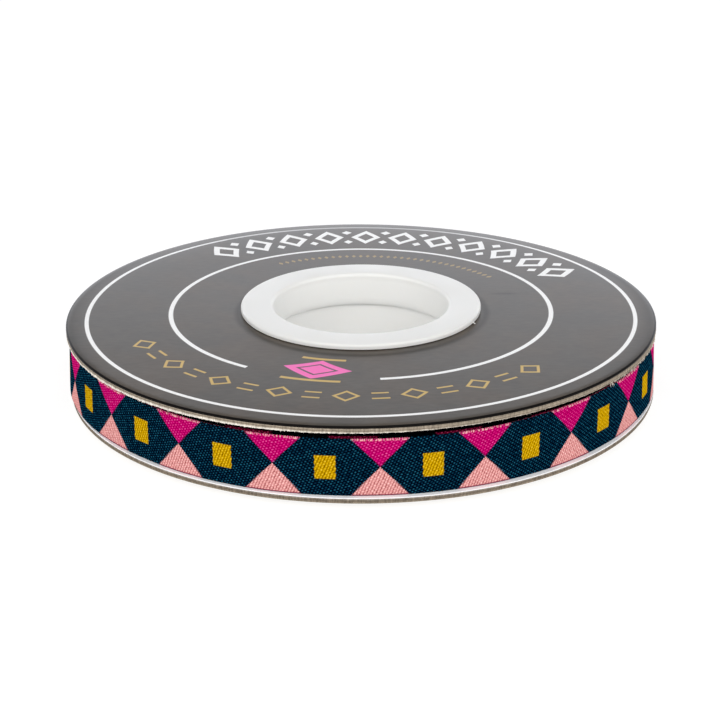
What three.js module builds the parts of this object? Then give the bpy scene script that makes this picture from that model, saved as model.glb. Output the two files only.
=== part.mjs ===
// A flat reel of woven jacquard ribbon, lying with its axis upright.
//
// Two discs of greyboard sit on a moulded hub of two halves, whose flanges clamp them. A printed paper label
// covers the upper disc, a white paper facing covers the inner side of the lower one, and the ribbon is wound
// between them in one flat roll. Millimetres, +Z up. The origin is on the axis, on the surface that the reel
// rests on, and azimuth is counted from +X towards +Y.

import * as THREE from "three";

// Boards and papers.
const REEL_RADIUS = 55;
const BOARD_THICKNESS = 1.07;
const PAPER_THICKNESS = 0.18;
const RIM_STEPS = 96;

// The cutting die presses the outer face of each board down at its rim, over this width and by this much.
const SHOULDER_REACH = 1.3;
const SHOULDER_DROP = 0.28;
const SHOULDER_STEPS = 4;

// The upper board has taken a slight saddle twist, which starts outside the hub flange.
const TWIST_HEIGHT = 0.2;
const TWIST_START = 23.5;
const TWIST_RADII = [TWIST_START, 34, 44];

// The lower board sits a little to one side in the play of its bore.
const LOWER_BOARD_SLIP = 0.3;

// Ribbon: its width, how thick one turn is, and the room above it. The inner turns stand higher than the last one.
const RIBBON_WIDTH = 10;
const TURN_THICKNESS = 0.4;
const HEADROOM = 1.37;
const INNER_TURNS_RAISE = 0.6;
const OUTER_TURN_DEPTH = 1;
const CUT_END_AZIMUTH = 97;

// The last turn isn't drawn quite round: its radius, and how far its upper edge has ridden up.
const LAST_TURN = [
  { azimuth: 0, radius: 55.1, lift: 0.2 },
  { azimuth: 30, radius: 54.8, lift: 0.1 },
  { azimuth: 60, radius: 54.4, lift: 0 },
  { azimuth: 90, radius: 54.2, lift: 0 },
  { azimuth: 125, radius: 54.4, lift: 0.05 },
  { azimuth: 155, radius: 54.8, lift: 0.15 },
  { azimuth: 190, radius: 55, lift: 0.3 },
  { azimuth: 205, radius: 54.4, lift: 0.3 },
  { azimuth: 225, radius: 54, lift: 0.25 },
  { azimuth: 250, radius: 54.25, lift: 0.05 },
  { azimuth: 270, radius: 54.2, lift: 0 },
  { azimuth: 290, radius: 54.25, lift: 0.1 },
  { azimuth: 310, radius: 54.3, lift: 0.35 },
  { azimuth: 330, radius: 54.6, lift: 0.3 },
  { azimuth: 345, radius: 55.05, lift: 0.25 },
  { azimuth: 360, radius: 55.1, lift: 0.2 },
];

// Hub: the tube of the upper half plugs into the tube of the lower half, and ends part of the way down the bore.
const CLEARANCE = 0.3;
const HUB_FLANGE_RADIUS = 22.6;
const HUB_FLANGE_THICKNESS = 1.1;
const HUB_EDGE_ROUND = 0.5;
const HUB_LIP_ROUND = 1.4;
const PLUG_BORE_TOP = 16.5;
const PLUG_BORE_END = 16.3;
const PLUG_OUTSIDE = 17.1;
const PLUG_DEPTH = 6.6;
const SOCKET_BORE = PLUG_OUTSIDE + CLEARANCE;
const SOCKET_OUTSIDE = 18.3;
const HUB_STEPS = 72;
const LIP_STEPS = 5;
const EDGE_STEPS = 2;

// Radii of the boards' bores and of the hollow in the roll.
const UPPER_BORE = SOCKET_OUTSIDE + CLEARANCE;
const LOWER_BORE = UPPER_BORE + LOWER_BOARD_SLIP;
const ROLL_BORE = SOCKET_OUTSIDE + CLEARANCE;

// Heights, from the rest surface up.
const LOWER_BOARD_BASE = HUB_FLANGE_THICKNESS;
const FACING_BASE = LOWER_BOARD_BASE + BOARD_THICKNESS;
const RIBBON_BASE = FACING_BASE + PAPER_THICKNESS;
const RIBBON_TOP = RIBBON_BASE + RIBBON_WIDTH;
const UPPER_BOARD_BASE = RIBBON_TOP + HEADROOM;
const LABEL_BASE = UPPER_BOARD_BASE + BOARD_THICKNESS;
const HUB_SEAT = LABEL_BASE + PAPER_THICKNESS;
const REEL_TOP = HUB_SEAT + HUB_FLANGE_THICKNESS;

const radians = THREE.MathUtils.degToRad;

/**
 * A ring turned about Z from a closed section, a list of [radius, height] points that runs anticlockwise with the
 * radius to the right. place(radius, height, azimuth) may move a point within its own radial plane. Each patch is
 * cut from its inner corner to its outer corner one step on, so two rings that share a face share its triangles.
 */
function ring(section, steps, place = (radius, height) => [radius, height]) {
  const corners = section.length;
  const positions = [];
  const indices = [];
  for (let step = 0; step < steps; step++) {
    const azimuth = (step / steps) * 2 * Math.PI;
    for (const [sectionRadius, sectionHeight] of section) {
      const [radius, height] = place(sectionRadius, sectionHeight, azimuth);
      positions.push(radius * Math.cos(azimuth), radius * Math.sin(azimuth), height);
    }
  }
  for (let step = 0; step < steps; step++) {
    const here = step * corners;
    const next = ((step + 1) % steps) * corners;
    for (let corner = 0; corner < corners; corner++) {
      const after = (corner + 1) % corners;
      if (section[corner][0] < section[after][0]) {
        indices.push(here + corner, next + corner, next + after);
        indices.push(here + corner, next + after, here + after);
      } else {
        indices.push(here + corner, next + corner, here + after);
        indices.push(next + corner, next + after, here + after);
      }
    }
  }
  const geometry = new THREE.BufferGeometry();
  geometry.setAttribute("position", new THREE.Float32BufferAttribute(positions, 3));
  geometry.setIndex(indices);
  geometry.computeVertexNormals();
  return geometry;
}

/** Points along an arc about a centre, from one angle to another in degrees. */
function arc(centreRadius, centreHeight, size, from, to, steps) {
  return Array.from({ length: steps + 1 }, (_, step) => {
    const angle = radians(from + ((to - from) * step) / steps);
    return [centreRadius + size * Math.cos(angle), centreHeight + size * Math.sin(angle)];
  });
}

/** The pressed rim of a sheet whose flat is at `level`, from the flat outwards: side 1 is pressed down, -1 up. */
function shoulder(level, side) {
  return Array.from({ length: SHOULDER_STEPS + 1 }, (_, step) => {
    const turn = ((step / SHOULDER_STEPS) * Math.PI) / 2;
    const radius = REEL_RADIUS - SHOULDER_REACH * (1 - Math.sin(turn));
    return [radius, level - side * SHOULDER_DROP * (1 - Math.cos(turn))];
  });
}

/** The flat of a twisted sheet, from its bore outwards, with the radii at which the twist is followed. */
function twistedFlat(level) {
  return [UPPER_BORE, ...TWIST_RADII].map((radius) => [radius, level]);
}

/** Moves a point of the upper board or its label by the saddle twist, none at the hub and most at the rim. */
function twist(radius, height, azimuth) {
  const share = (radius ** 2 - TWIST_START ** 2) / (REEL_RADIUS ** 2 - TWIST_START ** 2);
  return [radius, height - TWIST_HEIGHT * Math.max(share, 0) * Math.sin(2 * azimuth)];
}

function upperBoard() {
  const underside = [...twistedFlat(UPPER_BOARD_BASE), [REEL_RADIUS, UPPER_BOARD_BASE]];
  const face = [...twistedFlat(LABEL_BASE), ...shoulder(LABEL_BASE, 1)].reverse();
  return ring([...underside, ...face], RIM_STEPS, twist);
}

function label() {
  const underside = [...twistedFlat(LABEL_BASE), ...shoulder(LABEL_BASE, 1)];
  const face = [...twistedFlat(HUB_SEAT), ...shoulder(HUB_SEAT, 1)].reverse();
  return ring([...underside, ...face], RIM_STEPS, twist);
}

function lowerBoard() {
  const underside = [[LOWER_BORE, LOWER_BOARD_BASE], ...shoulder(LOWER_BOARD_BASE, -1)];
  const face = [
    [REEL_RADIUS, FACING_BASE],
    [LOWER_BORE, FACING_BASE],
  ];
  return ring([...underside, ...face], RIM_STEPS);
}

function facing() {
  const section = [
    [LOWER_BORE, FACING_BASE],
    [REEL_RADIUS, FACING_BASE],
    [REEL_RADIUS, RIBBON_BASE],
    [LOWER_BORE, RIBBON_BASE],
  ];
  return ring(section, RIM_STEPS);
}

/** The wound ribbon: a flat spiral roll with one step where the last turn is cut, and that turn set lower. */
function ribbonRoll() {
  const lastTurn = new THREE.CubicInterpolant(
    LAST_TURN.map((row) => row.azimuth),
    LAST_TURN.flatMap((row) => [row.radius, row.lift]),
    2,
    new Float32Array(2),
  );
  const outside = LAST_TURN[0].radius;
  const inside = outside - OUTER_TURN_DEPTH;
  const innerTop = RIBBON_TOP + INNER_TURNS_RAISE;
  const innerBase = RIBBON_BASE + INNER_TURNS_RAISE;
  const section = [
    [ROLL_BORE, innerBase],
    [inside, innerBase],
    [inside, RIBBON_BASE],
    [outside, RIBBON_BASE],
    [outside, RIBBON_TOP],
    [inside, RIBBON_TOP],
    [inside, innerTop],
    [ROLL_BORE, innerTop],
  ];
  const place = (radius, height, azimuth) => {
    if (radius === ROLL_BORE) return [radius, height];
    const degrees = THREE.MathUtils.radToDeg(azimuth);
    const [turnRadius, lift] = lastTurn.evaluate(degrees);
    const wound = THREE.MathUtils.euclideanModulo(degrees - CUT_END_AZIMUTH, 360) / 360;
    const spiral = TURN_THICKNESS * (0.5 - wound);
    return [radius - outside + turnRadius + spiral, height === RIBBON_TOP ? height + lift : height];
  };
  return ring(section, RIM_STEPS, place);
}

/** The upper half of the hub: a flange on the label, a rounded lip, and the plug tube that narrows downwards. */
function hubUpperHalf() {
  const section = [
    [PLUG_BORE_END, REEL_TOP - PLUG_DEPTH],
    [PLUG_OUTSIDE, REEL_TOP - PLUG_DEPTH],
    [PLUG_OUTSIDE, HUB_SEAT],
    [HUB_FLANGE_RADIUS, HUB_SEAT],
    ...arc(HUB_FLANGE_RADIUS - HUB_EDGE_ROUND, REEL_TOP - HUB_EDGE_ROUND, HUB_EDGE_ROUND, 0, 90, EDGE_STEPS),
    ...arc(PLUG_BORE_TOP + HUB_LIP_ROUND, REEL_TOP - HUB_LIP_ROUND, HUB_LIP_ROUND, 90, 180, LIP_STEPS),
  ];
  return ring(section, HUB_STEPS);
}

/** The lower half of the hub: the same flange under the lower board, and the socket tube up to the other flange. */
function hubLowerHalf() {
  const socketTop = HUB_SEAT - CLEARANCE;
  const section = [
    ...arc(SOCKET_BORE + HUB_LIP_ROUND, HUB_LIP_ROUND, HUB_LIP_ROUND, 180, 270, LIP_STEPS),
    ...arc(HUB_FLANGE_RADIUS - HUB_EDGE_ROUND, HUB_EDGE_ROUND, HUB_EDGE_ROUND, 270, 360, EDGE_STEPS),
    [HUB_FLANGE_RADIUS, LOWER_BOARD_BASE],
    [SOCKET_OUTSIDE, LOWER_BOARD_BASE],
    [SOCKET_OUTSIDE, socketTop],
    [SOCKET_BORE, socketTop],
  ];
  return ring(section, HUB_STEPS);
}

const greyboard = new THREE.MeshStandardMaterial({ color: "#b9b0a2", roughness: 0.9, metalness: 0 });
const labelPaper = new THREE.MeshStandardMaterial({ color: "#716f6d", roughness: 0.55, metalness: 0 });
const whitePaper = new THREE.MeshStandardMaterial({ color: "#eceaf0", roughness: 0.7, metalness: 0 });
const wovenRibbon = new THREE.MeshStandardMaterial({ color: "#0a3c4c", roughness: 0.65, metalness: 0 });
const whitePlastic = new THREE.MeshStandardMaterial({ color: "#f1f2f2", roughness: 0.35, metalness: 0 });

const reel = new THREE.Group();

function addPiece(name, geometry, material) {
  const mesh = new THREE.Mesh(geometry, material);
  mesh.name = name;
  reel.add(mesh);
  return mesh;
}

addPiece("hub_lower_half", hubLowerHalf(), whitePlastic);
addPiece("lower_board", lowerBoard(), greyboard).position.x = LOWER_BOARD_SLIP;
addPiece("lower_facing", facing(), whitePaper).position.x = LOWER_BOARD_SLIP;
addPiece("ribbon_roll", ribbonRoll(), wovenRibbon);
addPiece("upper_board", upperBoard(), greyboard);
addPiece("upper_label", label(), labelPaper);
addPiece("hub_upper_half", hubUpperHalf(), whitePlastic);

export default reel;
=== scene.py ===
"""A flat reel of woven jacquard ribbon: moulded hub, greyboard discs, printed label and wound ribbon.

Sizes are in millimetres, heights run up from the surface that the reel rests on, and azimuth is counted in
degrees from +X towards +Y. Each mesh is brought to metres when it is finished.
"""

import logging
import math
import random
from dataclasses import dataclass, field
from enum import Enum
from typing import Callable, Iterable, Sequence

import bmesh
import bpy
from mathutils import Matrix, Vector, noise


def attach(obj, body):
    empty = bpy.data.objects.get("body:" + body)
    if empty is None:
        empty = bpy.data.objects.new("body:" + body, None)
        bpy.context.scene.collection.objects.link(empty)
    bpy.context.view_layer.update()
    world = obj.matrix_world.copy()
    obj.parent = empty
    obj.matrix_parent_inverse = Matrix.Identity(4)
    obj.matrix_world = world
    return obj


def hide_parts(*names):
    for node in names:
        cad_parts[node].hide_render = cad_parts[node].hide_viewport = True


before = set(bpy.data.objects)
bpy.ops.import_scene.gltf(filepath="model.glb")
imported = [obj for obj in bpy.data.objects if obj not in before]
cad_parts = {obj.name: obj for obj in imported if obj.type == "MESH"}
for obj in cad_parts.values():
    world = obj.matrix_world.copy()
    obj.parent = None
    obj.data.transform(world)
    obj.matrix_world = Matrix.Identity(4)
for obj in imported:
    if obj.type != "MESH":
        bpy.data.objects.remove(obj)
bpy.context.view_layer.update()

LOG = logging.getLogger("ribbon_reel")

MM = 0.001
FULL_TURN = 360.0
# Points of a mesh that lie nearer to each other than this become one.
MERGE_DISTANCE = 1e-4
# A ring is spun as one wedge of a whole turn, which is then copied round.
WEDGES = 36
# An edge that turns by more than this many degrees stays sharp.
SHARP = 35.0

# Most values of a noise texture lie between these two.
NOISE_LOW = 0.3
NOISE_HIGH = 0.7
# How many octaves a noise texture has, from soft clouds to grit.
SOFT, EVEN, FINE, CRISP, GRITTY = 2.0, 3.0, 4.0, 5.0, 6.0

# The sRGB curve: where its straight part ends, how steep that part is, and the rest's offset and power.
SRGB_KNEE = 0.04045
SRGB_SLOPE = 12.92
SRGB_OFFSET = 0.055
SRGB_POWER = 2.4
BYTE = 255

Point = tuple[float, float]
Section = list[Point]
Colour = tuple[float, float, float, float]
Tree = bpy.types.NodeTree
Node = bpy.types.Node
Socket = bpy.types.NodeSocket
Source = Node | Socket


class Slot(Enum):
    """Material slots of the record."""

    RIBBON = "ribbon"
    GREYBOARD = "greyboard"
    LABEL = "label"
    FACING = "facing"
    HUB = "hub"


def linear(code: str) -> Colour:
    """Turns an sRGB hex value into a linear colour.

    Args:
        code: six hex digits after a hash mark.

    Returns:
        Red, green, blue and an alpha of one.
    """
    values = [int(code[place:place + 2], 16) / BYTE for place in (1, 3, 5)]
    red, green, blue = (
        v / SRGB_SLOPE if v <= SRGB_KNEE else ((v + SRGB_OFFSET) / (1 + SRGB_OFFSET)) ** SRGB_POWER
        for v in values)
    return red, green, blue, 1.0


def output_of(node: Node) -> Socket:
    """Gives a node's first output that is in use."""
    return next(output for output in node.outputs if output.enabled)


def add(tree: Tree, kind: str, *values: object, links: dict[str, object] | None = None,
        **settings: object) -> Node:
    """Adds a node with its settings and links.

    Args:
        tree: the node tree that the node goes into.
        kind: the node's type.
        values: what its inputs take in order, each a number, a colour, a node, a socket or None.
        links: the same for inputs that are given by name.
        settings: the node's properties by name.

    Returns:
        The new node.
    """
    made = tree.nodes.new(kind)
    for name, value in settings.items():
        setattr(made, name, value)
    usable = [socket for socket in made.inputs if socket.enabled]
    pairs = list(zip(usable, values))
    pairs += [(next(s for s in usable if s.name == name), value) for name, value in (links or {}).items()]
    for socket, value in pairs:
        if value is None:
            continue
        if isinstance(value, Node):
            value = output_of(value)
        if isinstance(value, Socket):
            tree.links.new(value, socket)
        else:
            socket.default_value = value
    return made


def start_material(name: str) -> tuple[bpy.types.Material, Tree]:
    """Makes an empty material.

    Args:
        name: the material's name.

    Returns:
        The material and its node tree.
    """
    material = bpy.data.materials.new(name)
    material.use_nodes = True
    material.node_tree.nodes.clear()
    return material, material.node_tree


def close_material(tree: Tree, finish: dict[str, object]) -> None:
    """Ends a material with one principled shader.

    Args:
        tree: the material's node tree.
        finish: what the shader's inputs take, by name.
    """
    shader = add(tree, "ShaderNodeBsdfPrincipled", links=finish)
    add(tree, "ShaderNodeOutputMaterial", shader)


def object_millimetres(tree: Tree) -> Node:
    """Adds the object coordinates, scaled to millimetres.

    Args:
        tree: the node tree.

    Returns:
        The node that gives them.
    """
    place = add(tree, "ShaderNodeTexCoord")
    return add(tree, "ShaderNodeVectorMath", place.outputs["Object"], operation="SCALE",
               links={"Scale": 1 / MM})


def within(tree: Tree, distance: Source, reach: float, softness: float) -> Node:
    """Adds a mask that is one where a distance is below a reach, with a soft edge.

    Args:
        tree: the node tree.
        distance: what gives the distance in millimetres.
        reach: where the mask ends, in millimetres.
        softness: how wide its edge is, in millimetres.

    Returns:
        The mask's node.
    """
    return add(tree, "ShaderNodeMapRange", distance, reach + softness / 2, reach - softness / 2, 0.0, 1.0)


def set_ramp(ramp: Node, stops: Sequence[tuple[float, str]]) -> None:
    """Gives a colour ramp its stops.

    Args:
        ramp: the colour ramp's node.
        stops: each stop's place from 0 to 1 and its colour.
    """
    elements = ramp.color_ramp.elements
    while len(elements) < len(stops):
        elements.new(1.0)
    for element, (position, colour) in zip(elements, stops):
        element.position = position
        element.color = linear(colour)


@dataclass(frozen=True)
class Polar:
    """Where a shaded point lies about the reel's axis, in millimetres and degrees."""

    radius: Socket
    azimuth: Socket
    height: Socket
    place: Node

    @classmethod
    def of(cls, tree: Tree) -> "Polar":
        """Adds the nodes that turn object coordinates into polar ones.

        Args:
            tree: the node tree.

        Returns:
            The polar coordinates.
        """
        place = object_millimetres(tree)
        parts = add(tree, "ShaderNodeSeparateXYZ", place)
        flat = add(tree, "ShaderNodeVectorMath", place, (1, 1, 0), operation="MULTIPLY")
        radius = add(tree, "ShaderNodeVectorMath", flat, operation="LENGTH").outputs["Value"]
        angle = add(tree, "ShaderNodeMath", parts.outputs["Y"], parts.outputs["X"], operation="ARCTAN2")
        degrees = add(tree, "ShaderNodeMath", angle, operation="DEGREES").outputs[0]
        return cls(radius, degrees, parts.outputs["Z"], place)


@dataclass(frozen=True)
class MouldedPolypropylene:
    """Injection-moulded polypropylene: a soft satin white with a little depth, and faint flow marks."""

    white: str = "#f2f2f0"
    roughness: float = 0.36
    roughness_change: float = 0.08
    ior: float = 1.49
    flow_length: float = 7.0
    lump_size: float = 0.4
    lump_depth: float = 0.012
    inner_light: float = 0.15
    inner_reach: float = 0.6
    inner_tint: tuple[float, float, float] = (1.0, 0.9, 0.8)

    def make(self) -> bpy.types.Material:
        """Makes the material.

        Returns:
            The material.
        """
        # The polished mould leaves a satin shine, and light that enters the plastic softens its edges.
        material, tree = start_material("injection_moulded_polypropylene")
        place = object_millimetres(tree)
        flow = add(tree, "ShaderNodeTexNoise", place, links={"Scale": 1 / self.flow_length, "Detail": EVEN})
        shine = add(tree, "ShaderNodeMapRange", flow, NOISE_LOW, NOISE_HIGH,
                    self.roughness - self.roughness_change, self.roughness + self.roughness_change)
        lumps = add(tree, "ShaderNodeTexNoise", place, links={"Scale": 1 / self.lump_size, "Detail": SOFT})
        bump = add(tree, "ShaderNodeBump",
                   links={"Strength": 1.0, "Distance": self.lump_depth * MM, "Height": lumps})
        close_material(tree, {
            "Base Color": linear(self.white), "Roughness": shine, "IOR": self.ior, "Normal": bump,
            "Subsurface Weight": self.inner_light, "Subsurface Radius": self.inner_tint,
            "Subsurface Scale": self.inner_reach * MM,
        })
        return material


@dataclass(frozen=True)
class GreyboardPulp:
    """Pressed waste-paper pulp, matt and grey-brown.

    Its face has short fibres and dark specks, and its cut edge shows the plies between two heights.
    """

    name: str
    face: str
    plies: tuple[tuple[float, str], ...]
    edge_base: float
    edge_top: float
    edge_band: Point = (54.45, 54.6)
    ply_wander: float = 0.35
    wander_length: float = 1.111
    nick_width: float = 0.3226
    nick_height: float = 1.4286
    nick_band: Point = (0.36, 0.66)
    nick_roughness: float = 0.7
    nick_dark: float = 0.62
    nick_light: float = 1.28
    fibre_length: float = 1.4
    fibre_width: float = 0.12
    fibre_thickness: float = 0.5
    fibre_curl: float = 1.6
    face_dark: float = 0.88
    face_light: float = 1.08
    speck_size: float = 0.45
    speck_band: Point = (0.06, 0.16)
    speck_share: float = 0.55
    speck_colour: str = "#5d544a"
    fuzz_size: float = 0.2
    fuzz_depth: float = 0.08
    roughness: float = 0.93
    specular: float = 0.25

    def dress_edge(self, tree: Tree, polar: Polar) -> Node:
        """Adds the colours of the cut edge: wandering plies with pale and dark nicks of the die.

        Args:
            tree: the node tree.
            polar: the point's polar coordinates.

        Returns:
            The node that gives the colour.
        """
        wander = add(tree, "ShaderNodeTexNoise", polar.place,
                     links={"Scale": 1 / self.wander_length, "Detail": FINE})
        wave = add(tree, "ShaderNodeMath", wander, -0.5, operation="ADD")
        level = add(tree, "ShaderNodeMath", wave, self.ply_wander, polar.height, operation="MULTIPLY_ADD")
        share = add(tree, "ShaderNodeMapRange", level, self.edge_base, self.edge_top)
        plies = add(tree, "ShaderNodeValToRGB", share)
        set_ramp(plies, self.plies)
        upright = add(tree, "ShaderNodeMapping", polar.place,
                      links={"Scale": (1 / self.nick_width, 1 / self.nick_width, 1 / self.nick_height)})
        nicks = add(tree, "ShaderNodeTexNoise", upright,
                    links={"Scale": 1.0, "Detail": CRISP, "Roughness": self.nick_roughness})
        tone = add(tree, "ShaderNodeMapRange", nicks, *self.nick_band, self.nick_dark, self.nick_light)
        return add(tree, "ShaderNodeVectorMath", plies, tone, operation="MULTIPLY")

    def dress_face(self, tree: Tree, polar: Polar) -> Node:
        """Adds the colours of the flat faces: fibres that lie along the board.

        Args:
            tree: the node tree.
            polar: the point's polar coordinates.

        Returns:
            The node that gives the colour.
        """
        along = add(tree, "ShaderNodeMapping", polar.place,
                    links={"Scale": (1 / self.fibre_width, 1 / self.fibre_length, 1 / self.fibre_thickness)})
        fibres = add(tree, "ShaderNodeTexNoise", along,
                     links={"Scale": 1.0, "Detail": GRITTY, "Distortion": self.fibre_curl})
        tone = add(tree, "ShaderNodeMapRange", fibres, NOISE_LOW, NOISE_HIGH,
                   self.face_dark, self.face_light)
        return add(tree, "ShaderNodeVectorMath", linear(self.face)[:3], tone, operation="MULTIPLY")

    def make(self) -> bpy.types.Material:
        """Makes the material.

        Returns:
            The material.
        """
        # Unsized waste pulp takes no shine, and the cut plies show as soft stripes of grey and cream.
        material, tree = start_material(self.name)
        polar = Polar.of(tree)
        edge = self.dress_edge(tree, polar)
        face = self.dress_face(tree, polar)
        rim = add(tree, "ShaderNodeMapRange", polar.radius, *self.edge_band)
        body = add(tree, "ShaderNodeMix", data_type="RGBA", links={"Factor": rim, "A": face, "B": edge})
        grains = add(tree, "ShaderNodeTexVoronoi", polar.place, links={"Scale": 1 / self.speck_size})
        specks = add(tree, "ShaderNodeMapRange", grains, *self.speck_band, self.speck_share, 0.0)
        speckled = add(tree, "ShaderNodeMix", data_type="RGBA",
                       links={"Factor": specks, "A": body, "B": linear(self.speck_colour)})
        fuzz = add(tree, "ShaderNodeTexNoise", polar.place,
                   links={"Scale": 1 / self.fuzz_size, "Detail": GRITTY})
        bump = add(tree, "ShaderNodeBump",
                   links={"Strength": 1.0, "Distance": self.fuzz_depth * MM, "Height": fuzz})
        close_material(tree, {"Base Color": speckled, "Roughness": self.roughness,
                              "Specular IOR Level": self.specular, "Normal": bump})
        return material


@dataclass(frozen=True)
class CoatedPaper:
    """White clay-coated paper: smooth and nearly matt, with a faint fibre mottle."""

    white: str = "#fafafd"
    roughness: float = 0.62
    mottle_size: float = 0.7
    mottle_dark: float = 0.94
    mottle_light: float = 1.02
    fibre_depth: float = 0.01

    def make(self) -> bpy.types.Material:
        """Makes the material.

        Returns:
            The material.
        """
        # The clay fills the paper's grain, so only a faint cloudiness of its fibres is left.
        material, tree = start_material("clay_coated_paper")
        place = object_millimetres(tree)
        mottle = add(tree, "ShaderNodeTexNoise", place,
                     links={"Scale": 1 / self.mottle_size, "Detail": FINE})
        tone = add(tree, "ShaderNodeMapRange", mottle, NOISE_LOW, NOISE_HIGH,
                   self.mottle_dark, self.mottle_light)
        colour = add(tree, "ShaderNodeVectorMath", linear(self.white)[:3], tone, operation="MULTIPLY")
        bump = add(tree, "ShaderNodeBump",
                   links={"Strength": 1.0, "Distance": self.fibre_depth * MM, "Height": mottle})
        close_material(tree, {"Base Color": colour, "Roughness": self.roughness, "Normal": bump})
        return material


@dataclass(frozen=True)
class Ink:
    """One printing ink and how wide its drawn lines are."""

    colour: str
    stroke: float = 0.5


@dataclass(frozen=True)
class OrnamentBand:
    """A row of plain ornament between two radii, from one azimuth to another, its motifs a pitch apart."""

    inner: float
    outer: float
    start: float
    end: float
    motifs: int

    @property
    def middle(self) -> float:
        """Radius along the middle of the band."""
        return (self.inner + self.outer) / 2

    @property
    def half_height(self) -> float:
        """Half of the band's width across the radius."""
        return (self.outer - self.inner) / 2

    @property
    def pitch(self) -> float:
        """Length of one motif's place, in millimetres along the middle of the band."""
        return math.radians(self.end - self.start) / self.motifs * self.middle

    def cell(self, tree: Tree, polar: Polar) -> tuple[Node, Node, Node]:
        """Adds nodes that give a point's place in its motif.

        Args:
            tree: the node tree.
            polar: the point's polar coordinates.

        Returns:
            The distances along and across the band from the motif's middle, and the motif's number.
        """
        share = add(tree, "ShaderNodeMapRange", polar.azimuth, self.start, self.end, 0.0, float(self.motifs),
                    clamp=False)
        number = add(tree, "ShaderNodeMath", share, operation="FLOOR")
        part = add(tree, "ShaderNodeMath", share, operation="FRACT")
        centred = add(tree, "ShaderNodeMath", part, -0.5, operation="ADD")
        along = add(tree, "ShaderNodeMath", centred, self.pitch, operation="MULTIPLY")
        across = add(tree, "ShaderNodeMath", polar.radius, self.middle, operation="SUBTRACT")
        return along, across, number

    def inside(self, tree: Tree, number: Node) -> Node:
        """Adds a mask that is one for the motifs that belong to the band.

        Args:
            tree: the node tree.
            number: the motif's number.

        Returns:
            The mask's node.
        """
        over = add(tree, "ShaderNodeMath", number, -0.5, operation="GREATER_THAN")
        under = add(tree, "ShaderNodeMath", number, self.motifs - 0.5, operation="LESS_THAN")
        return add(tree, "ShaderNodeMath", over, under, operation="MULTIPLY")


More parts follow.
